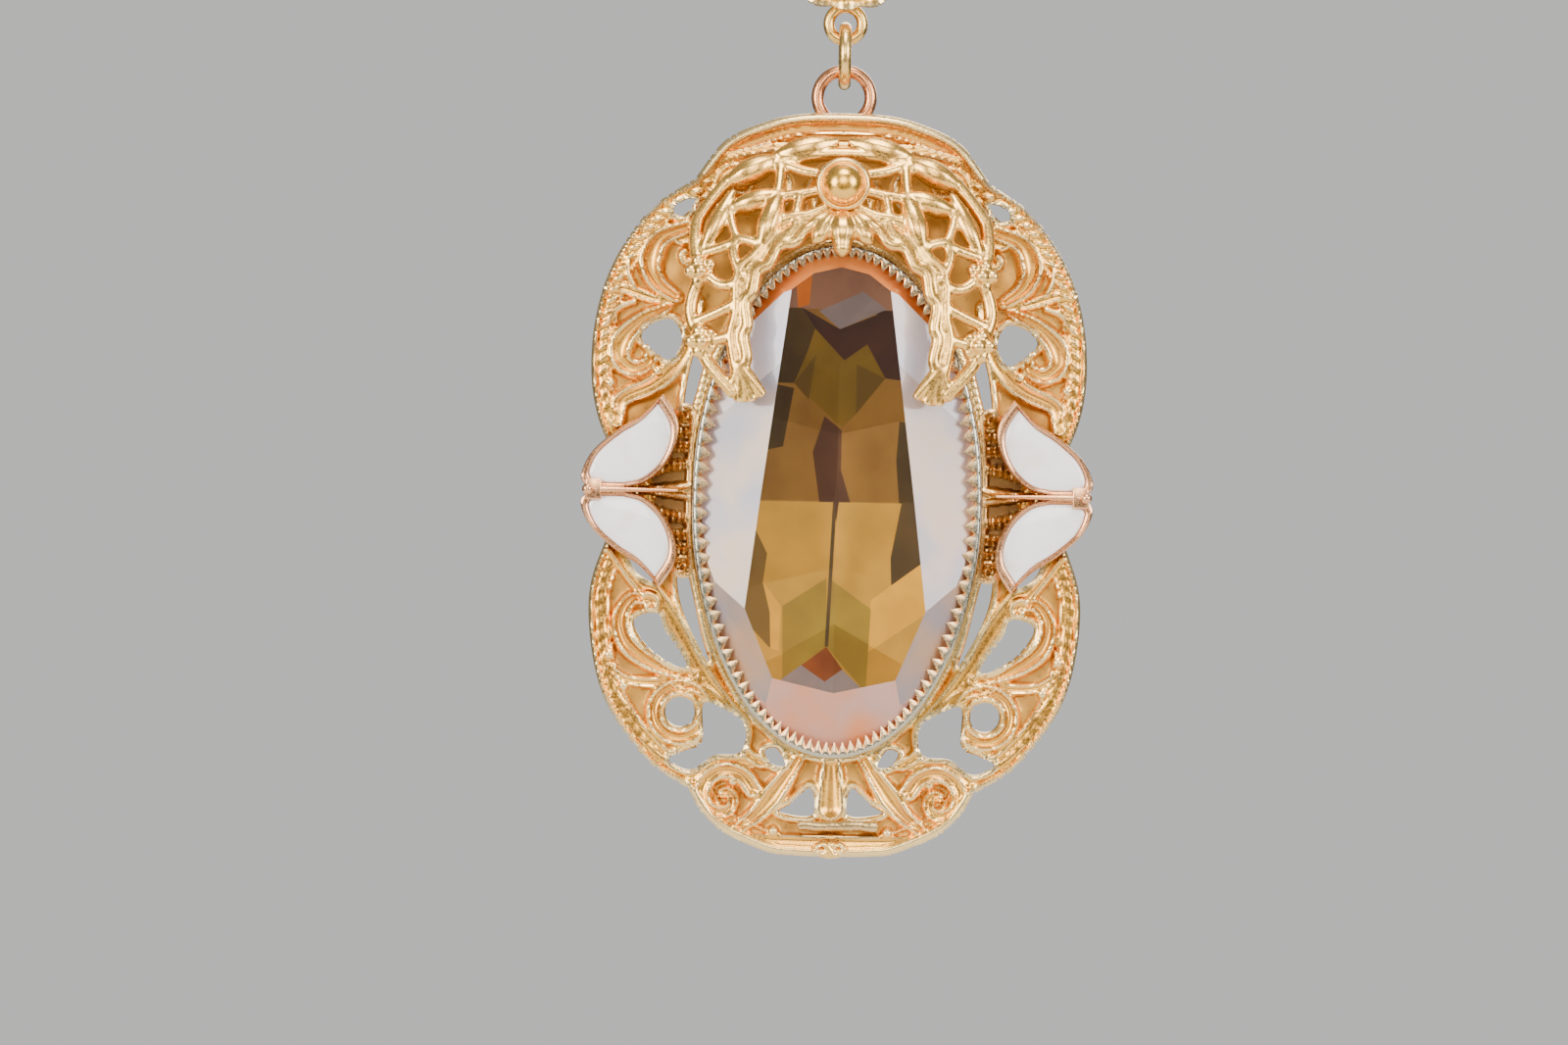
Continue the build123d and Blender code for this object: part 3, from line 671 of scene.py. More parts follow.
# %% Make the waist fans
WAIST_Y = centre("waist_fan_right").y
FAN_EDGE = [
    (11.78, WAIST_Y), (11.70, 2.6), (11.52, 4.6), (11.5, 5.9), (12.2, 6.35), (13.1, 6.05), (13.5, 5.2),
    (14.6, 4.5), (15.8, 3.0), (16.55, 1.2), (16.78, WAIST_Y),
]
FAN_STEM = [(16.6, WAIST_Y), (14.6, WAIST_Y), (12.9, WAIST_Y), (11.6, WAIST_Y)]
FAN_CURLS = [
    [(16.0, 0.6), (14.6, 1.0), (13.4, 1.3), (12.0, 1.5)],
    [(15.6, 2.5), (14.4, 2.9), (13.2, 2.9), (12.0, 2.8)],
    [(14.6, 4.3), (13.5, 4.3), (12.6, 4.0), (11.9, 4.0)],
]


def fan_height(xy, edge, run, rim):
    """Low cords that fan out from the stone, a stem between them and a curl at each end."""
    folded = np.column_stack([xy[:, 0], np.abs(xy[:, 1] - WAIST_Y) + WAIST_Y])
    height = 0.12 + 0.4 * half_round(edge - 0.2, 0.3)
    for curl in FAN_CURLS:
        gap, along, _ = nearest(folded, smooth_path(curl, 6))
        cord = 0.75 + 0.25 * np.cos(2 * math.pi * along / 0.5 + 3 * gap)
        height = np.maximum(height, 0.62 * half_round(gap, 0.55) * cord)
    away = np.hypot(folded[:, 0] - 12.4, folded[:, 1] - 5.35)
    swirl = 0.7 + 0.3 * np.cos(4 * away / 0.4 + np.arctan2(folded[:, 1] - 5.35, folded[:, 0] - 12.4))
    height = np.maximum(height, 0.78 * half_round(away, 1.0) * swirl)
    gap, along, _ = nearest(folded, smooth_path(FAN_STEM, 6))
    width = np.interp(along, (0, 5.0), (0.25, 0.95))
    groove = 1 - 0.5 * np.clip(1 - (gap / (0.4 * width)) ** 2, 0, 1)
    return np.maximum(height, 0.85 * half_round(gap, width) * groove)


upper_edge = smooth_path(FAN_EDGE, 6)
lower_edge = upper_edge[-2:0:-1] * (1, -1) + (0, 2 * WAIST_Y)
fan_edge = np.vstack([upper_edge, lower_edge])
for side, sign in (("right", 1), ("left", -1)):
    fan_bm = relief_sheet(0.13, fan_edge, [], fan_height, (11.4, -7.9), (17.0, 6.5), PLATE_FRONT + 0.1)
    close_sheet(fan_bm, PLATE_FRONT)
    if sign < 0:
        bmesh.ops.scale(fan_bm, verts=fan_bm.verts, vec=(-1, 1, 1))
    finish(fan_bm, "fan_" + side, ["dark_gilt"], replaces=["waist_fan_" + side])

# %% [markdown]
# ## The saw-tooth cup
#
# The cup's wall is a strip of thin metal bent round the stone, and its top edge is cut into
# teeth that are folded in over the glass. A flat grid is that strip: its columns run round
# the oval and its rows run up the wall, over the fold and back down the inside.

# %% Bend the strip round the stone
TEETH = 103
STEPS_PER_TOOTH = 4
TOOTH_REACH = 0.85
FOLD = [            # how far in from the outer wall, how far below the lip, and the tooth's share
    (0.0, 5.88, 0), (0.0, 0.9, 0), (0.02, 0.45, 0), (0.12, 0.14, 0), (0.32, 0.0, 0), (0.45, 0.02, 0.25),
    (0.55, 0.10, 1), (0.55, 0.26, 1), (0.52, 0.36, 0.2), (0.53, 5.88, 0),
]


def bend_strip(bm):
    """Turns a flat grid of (step, row) points into the wall with its folded teeth."""
    for vert in bm.verts:
        step, row = round(vert.co.x), round(vert.co.y)
        turn = 2 * math.pi * step / (TEETH * STEPS_PER_TOOTH)
        inward, below, share = FOLD[row]
        tooth = 1 - abs((step % STEPS_PER_TOOTH) - 2) / 2
        inward += share * tooth * TOOTH_REACH
        vert.co = (
            (bezel_half.x - inward) * math.cos(turn),
            (bezel_half.y - inward) * math.sin(turn) + STONE_Y,
            LIP_Z - below,
        )


steps = TEETH * STEPS_PER_TOOTH
strip = bmesh.new()
bmesh.ops.create_grid(strip, x_segments=steps, y_segments=len(FOLD) - 1, size=0.5)
bmesh.ops.scale(strip, verts=strip.verts, vec=(steps, len(FOLD) - 1, 1))
bmesh.ops.translate(strip, verts=strip.verts, vec=(steps / 2, (len(FOLD) - 1) / 2, 0))
for face in strip.faces:
    face.material_index = 1 if face.calc_center_median().y > 4.5 else 0
bend_strip(strip)
bmesh.ops.remove_doubles(strip, verts=strip.verts, dist=0.002)
bmesh.ops.bridge_loops(strip, edges=[edge for edge in strip.edges if edge.is_boundary])
finish(strip, "saw_tooth_wall", ["bezel_gilt", "tooth_copper"], replaces=["bezel_band"])

# %% [markdown]
# ## The stone
#
# A cut stone could be one clear body, but then its colour would hang on where the light
# falls. A real one of this kind is glass over a coloured foil. So the oval is cut by planes,
# and its light is painted into the facets. The table is clear glass; the sloping facets on top
# are milky glass, whose lilac, peach and rosy colours are painted reflections of the lamps and
# whose orange near the top is the amber's own colour with a painted glow. The facets underneath
# are foil in ambers and browns that show through it, split along the lines where one reflection
# meets another, and each part is painted lighter or darker for the reflection it stands for.

# %% Finishes of the glass and its foil, with their painted reflections
def make_cloudy():
    """Colour that drifts between two shades, in soft streaks and small clouds."""
    tree, start, end = new_group(
        "cloudy",
        [("First", "NodeSocketColor", (1, 1, 1, 1)), ("Second", "NodeSocketColor", (0, 0, 0, 1)),
         ("Scale", "NodeSocketFloat", 200.0)],
        [("Color", "NodeSocketColor"), ("Height", "NodeSocketFloat")],
    )
    place = add_node(tree, "ShaderNodeTexCoord").outputs["Object"]
    node = add_node(tree, "ShaderNodeTexNoise")
    tree.links.new(place, node.inputs["Vector"])
    tree.links.new(start.outputs["Scale"], node.inputs["Scale"])
    node.inputs["Detail"].default_value = 2.0
    share = ramp(tree, node.outputs["Fac"], 0.35, 0.65)
    colour = mix_colour(tree, share, start.outputs["First"], start.outputs["Second"])
    tree.links.new(colour, end.inputs["Color"])
    tree.links.new(noise_value(tree, place, 90.0, 1.0), end.inputs["Height"])
    return tree


CLOUDY = make_cloudy()


def cloudy_finish(name, first, second, scale, metallic, roughness, transmission=0.0):
    material, tree, shader = new_material(name)
    group = add_node(tree, "ShaderNodeGroup", node_tree=CLOUDY)
    group.inputs["First"].default_value = (*first, 1)
    group.inputs["Second"].default_value = (*second, 1)
    group.inputs["Scale"].default_value = scale
    tree.links.new(group.outputs["Color"], shader.inputs["Base Color"])
    shader.inputs["Metallic"].default_value = metallic
    shader.inputs["Roughness"].default_value = roughness
    shader.inputs["Transmission Weight"].default_value = transmission
    shader.inputs["IOR"].default_value = 1.5
    return material


GLASSES = {             # two shades, the clouds' scale, metallic, roughness and transmission
    "clear_glass": ((1.0, 0.97, 0.93), (1.0, 0.94, 0.86), 200.0, 0.0, 0.015, 1.0),
    # Painted reflections: the pale, bright, rosy and milky glasses paint the lamps' lilac and peach
    # reflections into the sloping facets; the orange glass is the amber's own orange with a painted glow.
    "pale_reflection_glass": ((0.46, 0.46, 0.56), (0.82, 0.58, 0.42), 190.0, 0.0, 0.08, 0.38),
    "bright_reflection_glass": ((0.62, 0.61, 0.74), (0.80, 0.68, 0.64), 130.0, 0.0, 0.07, 0.25),
    "rosy_reflection_glass": ((0.90, 0.30, 0.10), (0.66, 0.40, 0.34), 190.0, 0.0, 0.09, 0.35),
    "orange_glow_glass": ((0.95, 0.30, 0.06), (0.85, 0.20, 0.04), 260.0, 0.0, 0.09, 0.35),
    "milky_reflection_glass": ((0.38, 0.37, 0.44), (0.68, 0.44, 0.28), 200.0, 0.0, 0.09, 0.5),
}
# Painted reflections: the stone's ambers and browns in lighter and darker shades, each standing for a
# reflection seen through the table.
FOIL_REFLECTIONS = {
    "gold": ((0.60, 0.32, 0.025), (0.46, 0.25, 0.02)),
    "blond": ((0.80, 0.42, 0.02), (0.66, 0.34, 0.016)),
    "moss": ((0.34, 0.23, 0.016), (0.27, 0.17, 0.014)),
    "umber": ((0.34, 0.175, 0.032), (0.26, 0.13, 0.024)),
    "olive": ((0.20, 0.12, 0.012), (0.25, 0.145, 0.014)),
    "loden": ((0.135, 0.08, 0.011), (0.16, 0.09, 0.012)),
    "bark": ((0.06, 0.036, 0.009), (0.09, 0.052, 0.012)),
    "wine": ((0.115, 0.05, 0.022), (0.085, 0.036, 0.018)),
    "maroon": ((0.07, 0.027, 0.016), (0.05, 0.021, 0.013)),
    "dusky": ((0.26, 0.13, 0.085), (0.34, 0.17, 0.10)),
    "grey": ((0.21, 0.18, 0.19), (0.28, 0.22, 0.21)),
    "rust": ((0.26, 0.065, 0.008), (0.19, 0.045, 0.006)),
    "blaze": ((0.95, 0.27, 0.02), (0.80, 0.20, 0.015)),
}
for name, values in GLASSES.items():
    finishes[name] = cloudy_finish(name, *values)
for name, (first, second) in FOIL_REFLECTIONS.items():
    finishes["foil_reflection_" + name] = cloudy_finish("foil_reflection_" + name, first, second, 260.0, 0.55, 0.32)
print("glasses", len(GLASSES), "foils", len(FOIL_REFLECTIONS))

# %% Cut the stone
PAVILION_DEPTH = 4.3
GIRDLE_THICKNESS = 0.4
GIRDLE_LOW = KEEL_Z + PAVILION_DEPTH
GIRDLE_HIGH = GIRDLE_LOW + GIRDLE_THICKNESS
TABLE_HALF = [(0.0, 17.4), (3.7, 17.3), (6.1, -1.0), (7.2, -10.0), (4.9, -15.5), (0.0, -16.6)]
STONE_SIDES = 128


def cut_by(bm, point, normal):
    """Cuts away everything in front of a plane and closes the cut."""
    geom = bm.verts[:] + bm.edges[:] + bm.faces[:]
    cut = bmesh.ops.bisect_plane(bm, geom=geom, plane_co=point, plane_no=normal, clear_outer=True)
    edges = [item for item in cut["geom_cut"] if isinstance(item, bmesh.types.BMEdge)]
    if edges:
        bmesh.ops.edgenet_fill(bm, edges=edges)


def girdle_touch(out_x, out_y):
    """Where a line with that outward direction touches the stone's oval."""
    size = math.hypot(stone_half.x * out_x, stone_half.y * out_y)
    return (stone_half.x**2 * out_x / size, stone_half.y**2 * out_y / size + STONE_Y)


def crown_plane(start, end):
    """A point and an upward normal of the plane from one edge of the table to the girdle's oval."""
    along = Vector((end[0] - start[0], end[1] - start[1]))
    out = Vector((along.y, -along.x)).normalized()
    if out.dot(Vector(start) + Vector(end) - Vector((0, 2 * STONE_Y))) < 0:
        out = -out
    touch = Vector((*girdle_touch(out.x, out.y), GIRDLE_HIGH))
    normal = (Vector((*start, TABLE_Z)) - touch).cross(Vector((along.x, along.y, 0)))
    return touch, (-normal if normal.z < 0 else normal)


def cut_round(bm, facets, level, outward, upward):
    """Cuts a round of narrow facets that all touch the oval at one height."""
    for k in range(facets):
        turn = math.radians((k + 0.5) * 360 / facets)
        out = Vector((math.cos(turn) / stone_half.x, math.sin(turn) / stone_half.y)).normalized()
        touch = Vector((*girdle_touch(out.x, out.y), level))
        cut_by(bm, touch, Vector((out.x * outward, out.y * outward, upward)))


stone_bm = bmesh.new()
bmesh.ops.create_cone(
    stone_bm, cap_ends=True, segments=STONE_SIDES, radius1=1, radius2=1, depth=TABLE_Z - KEEL_Z,
    matrix=Matrix.Translation((0, STONE_Y, (TABLE_Z + KEEL_Z) / 2))
    @ Matrix.Diagonal((stone_half.x, stone_half.y, 1, 1)))
table_edges = list(zip(TABLE_HALF, TABLE_HALF[1:]))
table_edges += [((-a[0], a[1]), (-b[0], b[1])) for a, b in table_edges]
for start, end in table_edges:
    cut_by(stone_bm, *crown_plane(start, end))
cut_round(stone_bm, 24, GIRDLE_HIGH, 0.86, 0.51)
cut_round(stone_bm, 16, GIRDLE_LOW, 0.365, -0.93)
print("stone", len(stone_bm.faces), "facets")

# %% Split the foil along its reflections and colour every facet
WAIST_LINE = -1.4         # gold below it, umber above
# Painted reflections: the foil facets inside each outline below are painted in its shade.
REFLECTIONS = [           # each lies over the ones before it
    ("dusky", [(-4.8, 18.8), (4.8, 18.8), (4.6, 13.9), (-4.4, 14.1)]),
    ("bark", [(-4.9, 14.1), (-3.0, 14.1), (-2.0, 12.5), (-2.6, 10.6), (-3.6, 8.1), (-5.6, 8.1)]),
    ("maroon", [(2.2, 11.3), (3.0, 14.0), (4.9, 14.0), (5.4, 8.4), (3.7, 8.6)]),
    ("maroon", [(-3.0, 14.1), (0.0, 12.5), (3.8, 14.0), (2.2, 11.3), (0.4, 10.0), (-2.0, 12.5)]),
    ("grey", [(1.8, 15.5), (3.7, 14.1), (0.0, 12.5), (-1.7, 13.9)]),
    ("blaze", [(-3.7, 17.2), (-2.3, 17.0), (-2.5, 14.4), (-3.4, 14.1)]),
    ("olive", [
        (-2.0, 12.5), (0.4, 10.0), (2.2, 11.3), (3.7, 8.6), (1.4, 5.7), (0.3, 4.6), (-3.6, 8.1),
        (-2.6, 10.6)]),
    ("loden", [(1.4, 9.7), (3.7, 8.6), (1.4, 5.7)]),
    ("loden", [(-1.9, 10.4), (-3.6, 8.1), (-2.4, 6.8)]),
    ("bark", [(-5.7, 8.1), (-3.6, 7.7), (-4.4, 3.0), (-6.2, 2.6)]),
    ("bark", [(4.9, 5.2), (7.0, 4.8), (7.0, -1.4), (5.0, -1.4), (4.7, 2.0)]),
    ("wine", [(-1.1, 5.5), (0.3, 4.4), (0.3, 1.2), (1.1, -1.4), (-1.4, -1.4), (-2.0, 2.6)]),
    ("loden", [(-6.6, -3.4), (-5.5, -5.6), (-5.8, -7.9), (-7.2, -6.2)]),
    ("bark", [(5.2, -1.4), (4.4, -5.8), (4.5, -8.3), (7.2, -6.0), (7.0, -1.4)]),
    ("blond", [(7.4, -5.8), (2.9, -9.2), (2.4, -13.6), (7.6, -10.0)]),
    ("loden", [(-7.2, -6.2), (-5.8, -7.9), (-5.2, -10.3), (-5.1, -13.2), (-8.0, -10.2)]),
    ("blond", [(-5.8, -7.9), (-4.3, -9.8), (-4.4, -13.4), (-5.1, -13.2), (-5.2, -10.3)]),
    ("moss", [(-4.2, -9.8), (-0.7, -7.5), (-0.6, -13.0), (-4.1, -15.6)]),
    ("moss", [(-0.5, -7.5), (2.9, -9.9), (2.6, -16.6), (-0.6, -13.0)]),
    ("bark", [(-0.3, -1.4), (0.0, -1.4), (-0.45, -13.0), (-0.75, -13.0)]),
    ("grey", [(-5.6, -17.8), (-4.1, -15.6), (-2.6, -14.5), (0.7, -14.8), (2.6, -16.6), (5.4, -17.8)]),
    ("rust", [(-0.6, -13.0), (0.7, -14.8), (-0.7, -15.8), (-2.6, -14.5)]),
]


def split_along(bm, start, end, share_from, share_to):
    """Cuts along the line through two points every facet whose normal's Z lies in a range."""
    facets = [face for face in bm.faces if share_from < face.normal.z < share_to]
    geom = facets + list({e for f in facets for e in f.edges}) + list({v for f in facets for v in f.verts})
    across = (end[1] - start[1], start[0] - end[0], 0)
    bmesh.ops.bisect_plane(bm, geom=geom, plane_co=(*start, 0), plane_no=across, dist=1e-5)


for sign in (-1, 1):
    split_along(stone_bm, (sign * 6.5, 8.0), (sign * 7.5, 7.1), 0.7, 0.99)
split_along(stone_bm, (-8, WAIST_LINE), (8, WAIST_LINE), -1, -0.2)
for _, corners in REFLECTIONS:
    for start, end in zip(corners, corners[1:] + corners[:1]):
        split_along(stone_bm, start, end, -1, -0.2)


def colour_and_reflection_at(x, y):
    """The foil's colour at a spot under the table, with the painted reflection that lies there."""
    colour = "umber" if y > WAIST_LINE else "gold"
    for name, corners in REFLECTIONS:
        if inside(np.array([(x, y)]), np.array(corners, float))[0]:
            colour = name
    return colour


def glass_and_reflection_at(x, y, upward):
    """The glass of a facet on top of the stone, from its place and how far it faces up: clear on the table,
    milky glass with painted reflections on the sloping facets, and orange with a painted glow near the top.
    """
    if upward > 0.999:
        return "clear_glass"
    if upward < 0.7 and y > 3:
        return "orange_glow_glass"
    if y < -17.0:
        return "rosy_reflection_glass"
    if y > 8.0 + 0.9 * (6.5 - abs(x)):
        return "bright_reflection_glass"
    return "pale_reflection_glass" if y > -6 else "milky_reflection_glass"


stone_finishes = list(GLASSES) + ["foil_reflection_" + name for name in FOIL_REFLECTIONS]
stone_bm.normal_update()
for face in stone_bm.faces:
    x, y = face.calc_center_median()[:2]
    upward = face.normal.z
    # Each facet gets its glass or foil together with its painted reflection.
    seen_as = "foil_reflection_" + colour_and_reflection_at(x, y) if upward < -0.1 else glass_and_reflection_at(x, y, upward)
    face.material_index = stone_finishes.index(seen_as)
finish(stone_bm, "cut_stone", stone_finishes, replaces=["stone"], smooth=2, recalc=False)

# %% [markdown]
# ## The pierced hood
#
# The hood is openwork bent to a shallow dome. Cut from sheet it would look stamped, and the
# real one is cast: its bars are round, swell into leaves and melt into each other. So each
# bar is a smooth path with a radius at every point, laid on the dome, and a voxel remesh
# fuses them into a single skin.

# %% The dome and the hood's own coordinates
hood_high = face_up_box("crown_hood")[1]
DOME_Y = 10.0
DOME_TOP = TABLE_Z + 2.3
DOME_RIM = 3.0           # the height that the dome falls to at its reach
DOME_DROP = DOME_TOP - DOME_RIM
DOME_REACH = hood_high.y - DOME_Y
DOME_RADIUS = (DOME_REACH**2 + DOME_DROP**2) / (2 * DOME_DROP)
ARCH_Y, ARCH_R = 13.2, 7.9
OUTER_R = hood_high.x - 1.5
OUTER_Y = hood_high.y - OUTER_R - 0.6
LEG_ANGLE = 90.0         # beyond this the arch runs straight down to its feet
ARCH_END = 124           # the angle at which its three bars end
BOSS_Y = centre("boss_dome").y


BAR_SINK = 0.45          # how far a bar's middle lies under the dome


def dome_height(x, y):
    return DOME_TOP - DOME_RADIUS + math.sqrt(DOME_RADIUS**2 - x**2 - (y - DOME_Y) ** 2)


def on_dome(x, y, radius, lift=0.0):
    return (x, y, dome_height(x, y) - BAR_SINK + lift, radius)


def hood_spot(angle, share):
    """A place on the hood: an angle from its top, and 0 at the inner arch to 1 at the outer edge."""
    bend = max(-LEG_ANGLE, min(LEG_ANGLE, angle))
    turn, outer_turn = math.radians(bend), math.radians(angle * 0.9)
    down = abs(angle - bend) * ARCH_R * math.pi / 180
    inner = Vector((ARCH_R * math.sin(turn), ARCH_Y + ARCH_R * math.cos(turn) - down))
    outer = Vector((OUTER_R * math.sin(outer_turn), OUTER_Y + OUTER_R * math.cos(outer_turn)))
    return inner.lerp(outer, share)


def arch_bar(share, wave, waves, radius, lift=0.0):
    """A bar along the hood's arch, whose share swings to and fro by a wave."""
    return [
        on_dome(*hood_spot(angle, share + wave * math.cos(math.radians(angle * waves))), radius, lift)
        for angle in range(-ARCH_END, ARCH_END + 1, 4)]


def both_sides(paths):
    return paths + [[(-x, y, z, radius) for x, y, z, radius in path] for path in paths]


def fused(bm, voxel, smoothing=2):
    """Melts overlapping parts into one skin, as in a casting."""
    mesh = bpy.data.meshes.new("melt")
    bm.to_mesh(mesh)
    bm.free()
    holder = bpy.data.objects.new("melt", mesh)
    bpy.context.scene.collection.objects.link(holder)
    melt = holder.modifiers.new("melt", "REMESH")
    melt.mode = "VOXEL"
    melt.voxel_size = voxel
    soften = holder.modifiers.new("soften", "SMOOTH")
    soften.factor = 0.5
    soften.iterations = smoothing
    graph = bpy.context.evaluated_depsgraph_get()
    result = bpy.data.meshes.new_from_object(holder.evaluated_get(graph))
    fresh = bmesh.new()
    fresh.from_mesh(result)
    bpy.data.objects.remove(holder)
    bpy.data.meshes.remove(mesh)
    bpy.data.meshes.remove(result)
    return fresh


def shade_by(bm, painted_shade_at):
    """Writes the painted shade attribute from a function of a point's place."""
    layer = bm.verts.layers.float_color.new("hollow_shade")
    for vert in bm.verts:
        shade = min(max(painted_shade_at(vert.co), 0), 1)
        vert[layer] = (shade, shade, shade, 1)


print("dome radius", round(DOME_RADIUS, 2), "mm")

# %% Lay the hood's bars
def leaf(start, end, radius):
    """A bar that swells to a leaf between two x, y points of the dome."""
    start, end = Vector(start), Vector(end)
    return [on_dome(*start.lerp(end, share), radius * swell, 0.1)
            for share, swell in ((0.0, 0.4), (0.25, 0.95), (0.5, 1.1), (0.75, 0.95), (1.0, 0.3))]


bars = [arch_bar(-0.09, 0.045, 18, 0.5), arch_bar(0.15, 0.045, 10, 0.5), arch_bar(0.03, 0.0, 0, 0.45, -0.12)]
HOOD_BARS = [
    ([(0.0, 26.5), (2.2, 26.5), (4.4, 25.9), (6.2, 25.2)], 0.55),
    ([(1.9, 24.8), (3.6, 25.0), (5.0, 25.7)], 0.48), ([(1.9, 23.4), (3.7, 23.0), (5.2, 22.9)], 0.48),
    ([(3.4, 23.0), (3.8, 21.4), (3.7, 20.2), (4.8, 19.2)], 0.44),
    ([(5.0, 25.7), (5.0, 24.4), (5.2, 23.0)], 0.48), ([(9.0, 24.4), (10.5, 22.8), (11.4, 21.2)], 0.55),
    ([(11.4, 21.4), (12.0, 19.4), (11.4, 17.4)], 0.58), ([(8.9, 22.0), (9.0, 20.6), (8.3, 19.4)], 0.44),
    ([(6.4, 18.9), (7.4, 19.4), (8.5, 19.4), (8.7, 18.0), (8.1, 16.7)], 0.48),
    ([(8.3, 19.3), (9.6, 18.6), (11.0, 18.3)], 0.46), ([(7.7, 16.5), (9.3, 14.7), (10.8, 16.7)], 0.5),
    ([(8.1, 14.4), (9.4, 13.6), (11.4, 12.8)], 0.5), ([(8.6, 11.7), (9.8, 11.3), (10.9, 11.1)], 0.48),
    ([(11.1, 16.7), (12.1, 14.5), (11.8, 12.4), (10.9, 11.0)], 0.58),
    ([(10.9, 11.0), (10.9, 10.1), (9.8, 8.6), (8.3, 7.1)], 0.58),
]
HOOD_LEAVES = [
    ((0.4, 27.6), (5.7, 26.2), 0.95), ((5.2, 26.1), (9.4, 24.0), 1.05), ((8.7, 23.4), (11.2, 18.2), 0.72),
    ((4.9, 23.2), (9.1, 21.9), 0.85), ((5.0, 23.2), (6.5, 18.7), 0.95),
]
KNOTS = [(11.2, 16.8), (11.0, 11.2)]
half_bars = [[on_dome(x, y, radius) for x, y in path] for path, radius in HOOD_BARS]
half_bars += [leaf(*points) for points in HOOD_LEAVES]
FOOT_ANGLE = 118
foot = hood_spot(FOOT_ANGLE, 0.03)
for end_x, end_y, radius in ((6.0, 6.9, 0.36), (6.9, 6.45, 0.46), (7.9, 6.4, 0.46), (8.8, 6.8, 0.36)):
    half_bars.append([
        on_dome(foot.x, foot.y, 0.55), on_dome((foot.x + end_x) / 2 - 0.1, (foot.y + end_y) / 2, 0.52),
        on_dome(end_x, end_y, radius)])
hood_bm = swept(bars + both_sides(half_bars), 3)
for knot_x, knot_y in KNOTS:
    for sign in (-1, 1):
        level = dome_height(knot_x, knot_y) - 0.15
        add_bead(hood_bm, sign * knot_x, knot_y, level + 0.3, 0.62)
        for x, y in ring_path(knot_x, knot_y, 0.85, 0.85, 5):
            add_bead(hood_bm, sign * x, y, level, 0.56)
hood_bm = fused(hood_bm, 0.13, 3)
# Painted shade: parts of the bars that lie below the dome's surface are painted darker.
shade_by(hood_bm, lambda co: (dome_height(co.x, co.y) - 0.35 - co.z) / 0.5)
finish(hood_bm, "pierced_hood", ["pale_gilt"], replaces=["crown_hood"], smooth=180)

# %% [markdown]
# ## Boss, collar and palmette
#
# A polished ball head holds the hood, in a collar with a rolled edge. Both are turned shapes,
# so their profiles are spun round. A palmette of swelling lobes hangs from it and reaches over
# the arch. Its lobes are bars as well, because a cast leaf is thickest at its middle.

# %% Turn the boss and hang the palmette
def turned(profile, x, y):
    """A body turned about the Z direction from a profile of (radius, z) points."""
    bm = bmesh.new()
    verts = [bm.verts.new((radius, 0, z)) for radius, z in profile]
    edges = [bm.edges.new(pair) for pair in zip(verts, verts[1:])]
    bmesh.ops.spin(bm, geom=verts + edges, axis=(0, 0, 1), angle=2 * math.pi, steps=48, use_merge=True)
    bmesh.ops.remove_doubles(bm, verts=bm.verts, dist=0.001)
    bmesh.ops.translate(bm, verts=bm.verts, vec=(x, y, 0))
    return bm


collar_high = face_up_box("boss_collar")[1]
COLLAR_R = collar_high.x
COLLAR_Z = collar_high.z
collar_profile = [(0, COLLAR_Z - 1.2), (COLLAR_R, COLLAR_Z - 1.7), (COLLAR_R, COLLAR_Z - 0.35)]
collar_profile += [
    (COLLAR_R - 0.25 + 0.25 * math.cos(t), COLLAR_Z - 0.3 + 0.3 * math.sin(t))
    for t in np.linspace(0.2, 2.6, 7)]
collar_profile += [(COLLAR_R - 0.55, COLLAR_Z - 0.28), (0, COLLAR_Z - 0.28)]
collar_bm = turned(collar_profile, 0, BOSS_Y)
finish(collar_bm, "boss_rim", ["pale_gilt"], replaces=["boss_collar"])

BOSS_R = half_size("boss_dome").x
BOSS_HEIGHT = face_up_box("boss_dome")[1].z - COLLAR_Z + 0.25
boss_profile = [(0, COLLAR_Z - 0.25)]
boss_profile += [
    (BOSS_R * math.cos(t) ** 0.8, COLLAR_Z - 0.25 + BOSS_HEIGHT * math.sin(t))
    for t in np.linspace(0, math.pi / 2 - 0.02, 14)]
boss_profile.append((0, COLLAR_Z - 0.25 + BOSS_HEIGHT))
boss_bm = turned(boss_profile, 0, BOSS_Y)
finish(boss_bm, "boss", ["polished_gilt"], replaces=["boss_dome"])

LOBE_PATHS = [
    [(0.0, 21.6, 0.6), (0.0, 20.9, 1.0), (0.0, 19.9, 1.2), (0.0, 19.0, 0.7), (0.0, 18.4, 0.75),
     (0.0, 17.98, 0.05)],
    [(0.6, 21.5, 0.5), (1.1, 20.9, 0.75), (1.65, 20.0, 0.8), (2.1, 19.4, 0.6), (2.35, 19.1, 0.1)],
    [(1.0, 21.4, 0.5), (1.8, 21.0, 0.62), (2.4, 20.6, 0.56), (2.95, 20.4, 0.2)],
]
lobes = [[on_dome(x, y, radius, 0.38) for x, y, radius in path] for path in LOBE_PATHS]
palmette_bm = fused(swept(lobes[:1] + both_sides(lobes[1:]), 3), 0.1, 1)
# Painted shade: the lower a part of the palmette lies, the darker it is painted.
shade_by(palmette_bm, lambda co: (dome_height(co.x, co.y) + 0.25 - co.z) / 0.5)
finish(palmette_bm, "hanging_palmette", ["pale_gilt"], replaces=["palmette"], smooth=180)

# %% [markdown]
# ## Enamel leaves
#
# Each leaf is a shallow copper tray filled with white enamel. The tray is one outline
# carried up through several heights, drawn in a little each time: up the wall, over the
# rounded rim and down inside. The enamel repeats it with a crowned top, as enamel sets.

